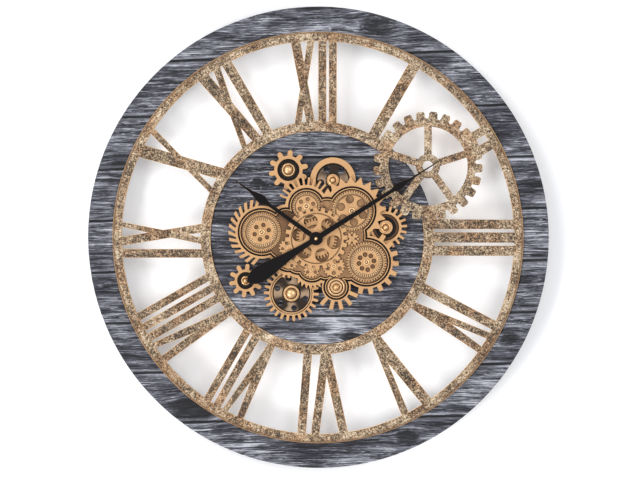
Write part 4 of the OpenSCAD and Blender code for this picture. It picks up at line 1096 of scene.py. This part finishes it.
    def work_bars(self, r: Relief, beds: Form, rows: Form) -> None:
        """Makes the bars of one relief: only the outermost bed and row where it isn't beaded.

        Args:
            r: The relief.
            beds: Takes the dark beds.
            rows: Takes the bars and hoops.
        """
        worked = None if r.beaded else 1
        for inner, outer in self.bar_beds[:worked]:
            beds.lathe(r.x, r.z, washer(r.tip * inner, r.tip * outer, self.relief_top, self.bed))
        for row in self.bar_rows[:worked]:
            rows.add(row.mesh(r, self.relief_top, self.bar_rise))
        for share in self.bead_hoops if r.beaded else ():
            ring = hoop(r.tip * share, self.bead_hoop_half, self.relief_top, self.bead_hoop_rise)
            rows.lathe(r.x, r.z, ring, LARGE_STEPS)


@dataclass
class DomedNut:
    """A domed nut in a ringed washer, with its stud where that shows."""

    node: str
    body: Body
    radius: float
    foot: float = 40.4 * MM
    washer: float = 1.42
    stud: tuple[float, ...] = ()
    ditch: float = 1.13
    step: float = 0.8 * MM

    def profile(self, top: float) -> list[tuple[float, float]]:
        """Radius and height from the top of the dome down to the washer's foot.

        Args:
            top: Height of the dome's top.

        Returns:
            The corners of the profile.
        """
        radius, foot = self.radius, self.foot
        step = min(self.step, (top - foot) * 0.2)
        ditch, outer = radius * self.ditch, radius * self.washer
        return dome(radius, foot + step, top - foot - step)[:-1] + [
            (radius, foot + 0.35 * step), (ditch, foot + 0.35 * step), (ditch * 1.01, foot + 1.1 * step),
            ((ditch + outer) / 2, foot + 1.35 * step), (outer * 0.98, foot + 1.1 * step),
            (outer, foot + 0.8 * step), (outer, foot), (0.0, foot),
        ]

    def build(self) -> None:
        """Makes the nut over its node."""
        x, z, top = axis_of(self.node)

        def coat(face: bmesh.types.BMFace) -> Finish:
            """Dark in the ditch between dome and washer."""
            share = off_axis(face, x, z) / self.radius
            return DEEP if 0.995 < share < self.ditch + 0.005 and face.normal.y < 0.5 else BRASS

        form = Form().lathe(x, z, self.profile(top))
        if self.stud:
            form.lathe(x, z, disc(*self.stud), SMALL_STEPS)
        form.piece(self.node + "_dome", self.body, (BRASS, DEEP), coat, (self.node,))


class Web(Enum):
    """How the sunk web of a show gear is finished."""

    BLACK = "black"
    WAXED = "waxed"
    # A web with a painted sheen round its axis.
    PAINTED_SHEEN = "turned"


@dataclass
class ShowGear:
    """A gear that turns in front of the disc."""

    node: str
    body: Body
    web: Web
    # Rings of black laid on the sunk web: painted shade under the rim and round the hub.
    black: tuple[tuple[float, float], ...] = ()
    black_hub: bool = False
    lobes: float = 4.0
    edge: float = 0.3 * MM
    rim: float = 39.9 * MM
    hub_rise: float = 0.3 * MM
    rim_room: float = 0.2 * MM
    edge_room: float = 0.45 * MM
    step: float = 0.7 * MM
    floor: float = 38.7 * MM
    bed: float = 0.08 * MM

    def coat(self, face: bmesh.types.BMFace, web: Finish) -> Finish:
        """Gold rim, dark web.

        Args:
            face: A face of the gear.
            web: Finish of the sunk web.

        Returns:
            The face's finish.
        """
        level = height(face)
        if is_front(face):
            if self.black_hub and level > self.rim + self.hub_rise:
                return RECESS
            if level > self.rim - self.rim_room:
                return GOLD
            return DEEP if level > self.rim - self.step else web
        # Rounded edges near the rim: worn gold with a painted highlight.
        return GOLD_EDGE_WEAR_AND_HIGHLIGHT if is_edge(face) and level > self.rim - self.edge_room else PATINA

    def build(self) -> None:
        """Makes the gear over its node."""
        x, z, _ = axis_of(self.node)
        # Painted sheen on the web of a turned gear.
        turned = PaintedSheenFinish(self.node + "_sheen", Slot.GOLD, x, z, self.lobes)
        web = {Web.BLACK: RECESS, Web.WAXED: PATINA, Web.PAINTED_SHEEN: turned}[self.web]
        form = Form.of_node(self.node).bevel(self.edge)
        finishes = tuple(dict.fromkeys((GOLD, GOLD_EDGE_WEAR_AND_HIGHLIGHT, PATINA, RECESS, DEEP, web)))
        form.piece(self.node + "_cast", self.body, finishes, lambda face: self.coat(face, web), (self.node,))
        # Painted shade: thin black rings on the web under the rim and round the hub.
        if self.black:
            beds = Form()
            for inner, outer in self.black:
                beds.lathe(x, z, washer(inner, outer, self.floor, self.bed))
            beds.piece(self.node + "_black", self.body, (RECESS,))


@dataclass
class WindowBack:
    """The round plate behind the gear that shows through the cover's windows."""

    inner: float = 7.4 * MM
    outer: float = 34.0 * MM
    foot: float = 36.3 * MM
    thickness: float = 0.5 * MM

    def build(self) -> None:
        """Makes the plate."""
        form = Form().lathe(0.0, 0.0, washer(self.inner, self.outer, self.foot, self.thickness), LARGE_STEPS)
        form.piece("window_back", Body.DRIVE, (PATINA,))


@dataclass
class Hands:
    """Both hands with their cap."""

    edge: float = 0.22 * MM
    cap_edge: float = 0.1 * MM

    @staticmethod
    def coat(face: bmesh.types.BMFace) -> Finish:
        """Black, with a painted brown highlight along the edges."""
        return HAND_EDGE_HIGHLIGHT if is_edge(face) else HAND

    def build(self) -> None:
        """Makes the hands."""
        for node, body in (("hour_hand", Body.HOUR), ("minute_hand", Body.MINUTE)):
            form = Form.of_node(node).bevel(self.edge)
            form.piece(node + "_blade", body, (HAND, HAND_EDGE_HIGHLIGHT), self.coat, (node,))
        carry("hand_cap", BRASS, self.cap_edge)


@dataclass
class Works:
    """What stands behind the dial: each node with its finish and the width of its rounding."""

    parts: tuple[tuple[str, Finish, float], ...] = (
        ("clamp_nut", BRASS, 0.25 * MM),
        ("wall_spacers", RUBBER, 0.8 * MM),
        ("hanger", STEEL, 0.3 * MM),
        ("hanger_screws", STEEL, 0.4 * MM),
        ("gearbox_back", BLACK, 0.4 * MM),
        ("gearbox_front", BLACK, 0.3 * MM),
        ("gearbox_screws", STEEL, 0.4 * MM),
        ("motor", STEEL, 0.8 * MM),
        ("motor_pinion", WHITE, 0.1 * MM),
        ("drive_wheel", WHITE, 0.12 * MM),
        ("idler", WHITE, 0.1 * MM),
        *(("arbor_" + body.value, STEEL, 0.1 * MM) for body in ARBORS),
        ("movement_case", BLACK, 0.5 * MM),
        ("movement_lid", BLACK, 0.3 * MM),
        ("minute_shaft", STEEL, 0.05 * MM),
        ("motion_wheel", WHITE, 0.08 * MM),
        ("hour_wheel", WHITE, 0.05 * MM),
        ("battery_box", BLACK, 0.35 * MM),
        ("battery_door", BLACK, 0.15 * MM),
        ("power_switch", WHITE, 0.2 * MM),
        ("cells", WRAP, 0.5 * MM),
    )

    def build(self) -> None:
        """Dresses the nodes."""
        for node, finish, width in self.parts:
            carry(node, finish, width)


@dataclass(frozen=True)
class Lamp:
    """A soft square light that looks at the clock: where it stands, its side and its watts."""

    name: str
    place: tuple[float, float, float]
    size: float
    power: float

    def build(self) -> None:
        """Adds the light."""
        light = bpy.data.lights.new(self.name, "AREA")
        light.shape = "SQUARE"
        light.size = self.size
        light.energy = self.power
        Stage.add(self.name, light, Vector(self.place), Vector(self.place))


@dataclass
class Stage:
    """Wall, lights and camera."""

    distance: float = 3.0
    azimuth: float = math.radians(3.6)
    elevation: float = math.radians(2.2)
    aim: tuple[float, float, float] = (4.2 * MM, -36.0 * MM, -2.4 * MM)
    view_width: float = 0.8447
    sensor: float = 36.0
    wall_half: float = 4.0
    wall_gap: float = 0.6 * MM
    wall_colour: Colour = (0.96, 0.96, 0.965, 1.0)
    wall_glow: float = 0.1
    sky: Colour = (0.93, 0.95, 1.0, 1.0)
    sky_strength: float = 0.64
    lamps: tuple[Lamp, ...] = (
        Lamp("key", (-1.9, -2.0, -1.5), 1.2, 52.0),
        Lamp("high", (-1.6, -2.4, 1.5), 1.4, 38.0),
        Lamp("fill", (1.9, -2.6, 0.6), 2.0, 40.0),
        Lamp("behind", (-0.9, 2.4, 1.4), 1.8, 60.0),
    )

    @staticmethod
    def add(name: str, data: bpy.types.ID, place: Vector, back: Vector) -> bpy.types.Object:
        """Stands a light or a camera in the scene.

        Args:
            name: Its name.
            data: The light or camera.
            place: Where it stands.
            back: The way that it looks away from.

        Returns:
            The object.
        """
        made = bpy.data.objects.new(name, data)
        made.location = place
        made.rotation_mode = "QUATERNION"
        made.rotation_quaternion = (-back).to_track_quat("-Z", "Y")
        bpy.context.scene.collection.objects.link(made)
        return made

    def wall_material(self) -> bpy.types.Material:
        """Makes white paint that only shows and shades from its front.

        Returns:
            The material.
        """
        g = Graph("white_wall")
        g.bump(g.noise((900.0,) * 3, 2.0), 0.05 * MM, 0.2)
        g.dress(
            Base_Color=self.wall_colour, Roughness=0.9, Specular_IOR_Level=0.1,
            Emission_Color=(1.0, 1.0, 1.0, 1.0), Emission_Strength=self.wall_glow,
        )
        behind = g.node("ShaderNodeNewGeometry").outputs["Backfacing"]
        shadow = g.node("ShaderNodeLightPath").outputs["Is Shadow Ray"]
        clear = g.node("ShaderNodeBsdfTransparent").outputs[0]
        both = g.tree.nodes.new("ShaderNodeMixShader")
        inputs = (g.calc("MAXIMUM", behind, shadow), g.shader.outputs[0], clear)
        for socket, value in zip(both.inputs, inputs):
            g.feed(socket, value)
        g.feed(g.tree.nodes["Material Output"].inputs["Surface"], both.outputs[0])
        return g.material

    def wall(self) -> None:
        """Makes the wall."""
        bm = bmesh.new()
        place = Matrix.Translation((0.0, self.wall_gap, 0.0)) @ Matrix.Rotation(math.pi / 2, 4, "X")
        bmesh.ops.create_grid(bm, x_segments=1, y_segments=1, size=self.wall_half, matrix=place)
        mesh = bpy.data.meshes.new("wall")
        bm.to_mesh(mesh)
        bm.free()
        mesh.materials.append(self.wall_material())
        wall = bpy.data.objects.new("wall", mesh)
        bpy.context.scene.collection.objects.link(wall)

    def camera(self) -> None:
        """Sets the camera where the photograph was taken from."""
        lens = bpy.data.cameras.new("camera")
        lens.sensor_width = self.sensor
        lens.lens = self.sensor * self.distance / self.view_width
        back = Vector((
            math.sin(self.azimuth) * math.cos(self.elevation),
            -math.cos(self.azimuth) * math.cos(self.elevation),
            math.sin(self.elevation),
        ))
        place = Vector(self.aim) + back * self.distance
        bpy.context.scene.camera = self.add("camera", lens, place, back)

    def build(self) -> None:
        """Makes the stage."""
        self.wall()
        for lamp in self.lamps:
            lamp.build()
        world = bpy.data.worlds.new("studio")
        world.use_nodes = True
        background = world.node_tree.nodes["Background"].inputs
        background["Color"].default_value = self.sky
        background["Strength"].default_value = self.sky_strength
        bpy.context.scene.world = world
        bpy.context.scene.view_settings.view_transform = "Standard"
        self.camera()


def main() -> None:
    """Builds the clock's looks piece by piece."""
    logging.basicConfig(level=logging.INFO, format="%(name)s %(message)s")
    Boards().build()
    DialSheet().build()
    GearCover().build()
    for gear in (
        ShowGear("gear_top_left", Body.TOP_LEFT, Web.BLACK, black_hub=True),
        # The black rings on these two webs are painted shade.
        ShowGear(
            "wheel_top", Body.TOP, Web.PAINTED_SHEEN, ((20.3 * MM, 22.4 * MM), (8.2 * MM, 9.6 * MM)), lobes=2.0,
        ),
        ShowGear("gear_right", Body.RIGHT, Web.BLACK),
        ShowGear(
            "gear_bottom", Body.BOTTOM, Web.PAINTED_SHEEN,
            ((25.6 * MM, 26.4 * MM), (23.6 * MM, 25.1 * MM), (10.7 * MM, 12.4 * MM)),
        ),
        ShowGear("gear_bottom_left", Body.BOTTOM_LEFT, Web.BLACK),
        ShowGear("window_gear", Body.DRIVE, Web.WAXED),
    ):
        gear.build()
    WindowBack().build()
    for body, radius in zip(ARBORS, NUT_RADII):
        DomedNut("nut_" + body.value, body, radius).build()
    Hands().build()
    Works().build()
    Stage().build()


if __name__ == "__main__":
    main()
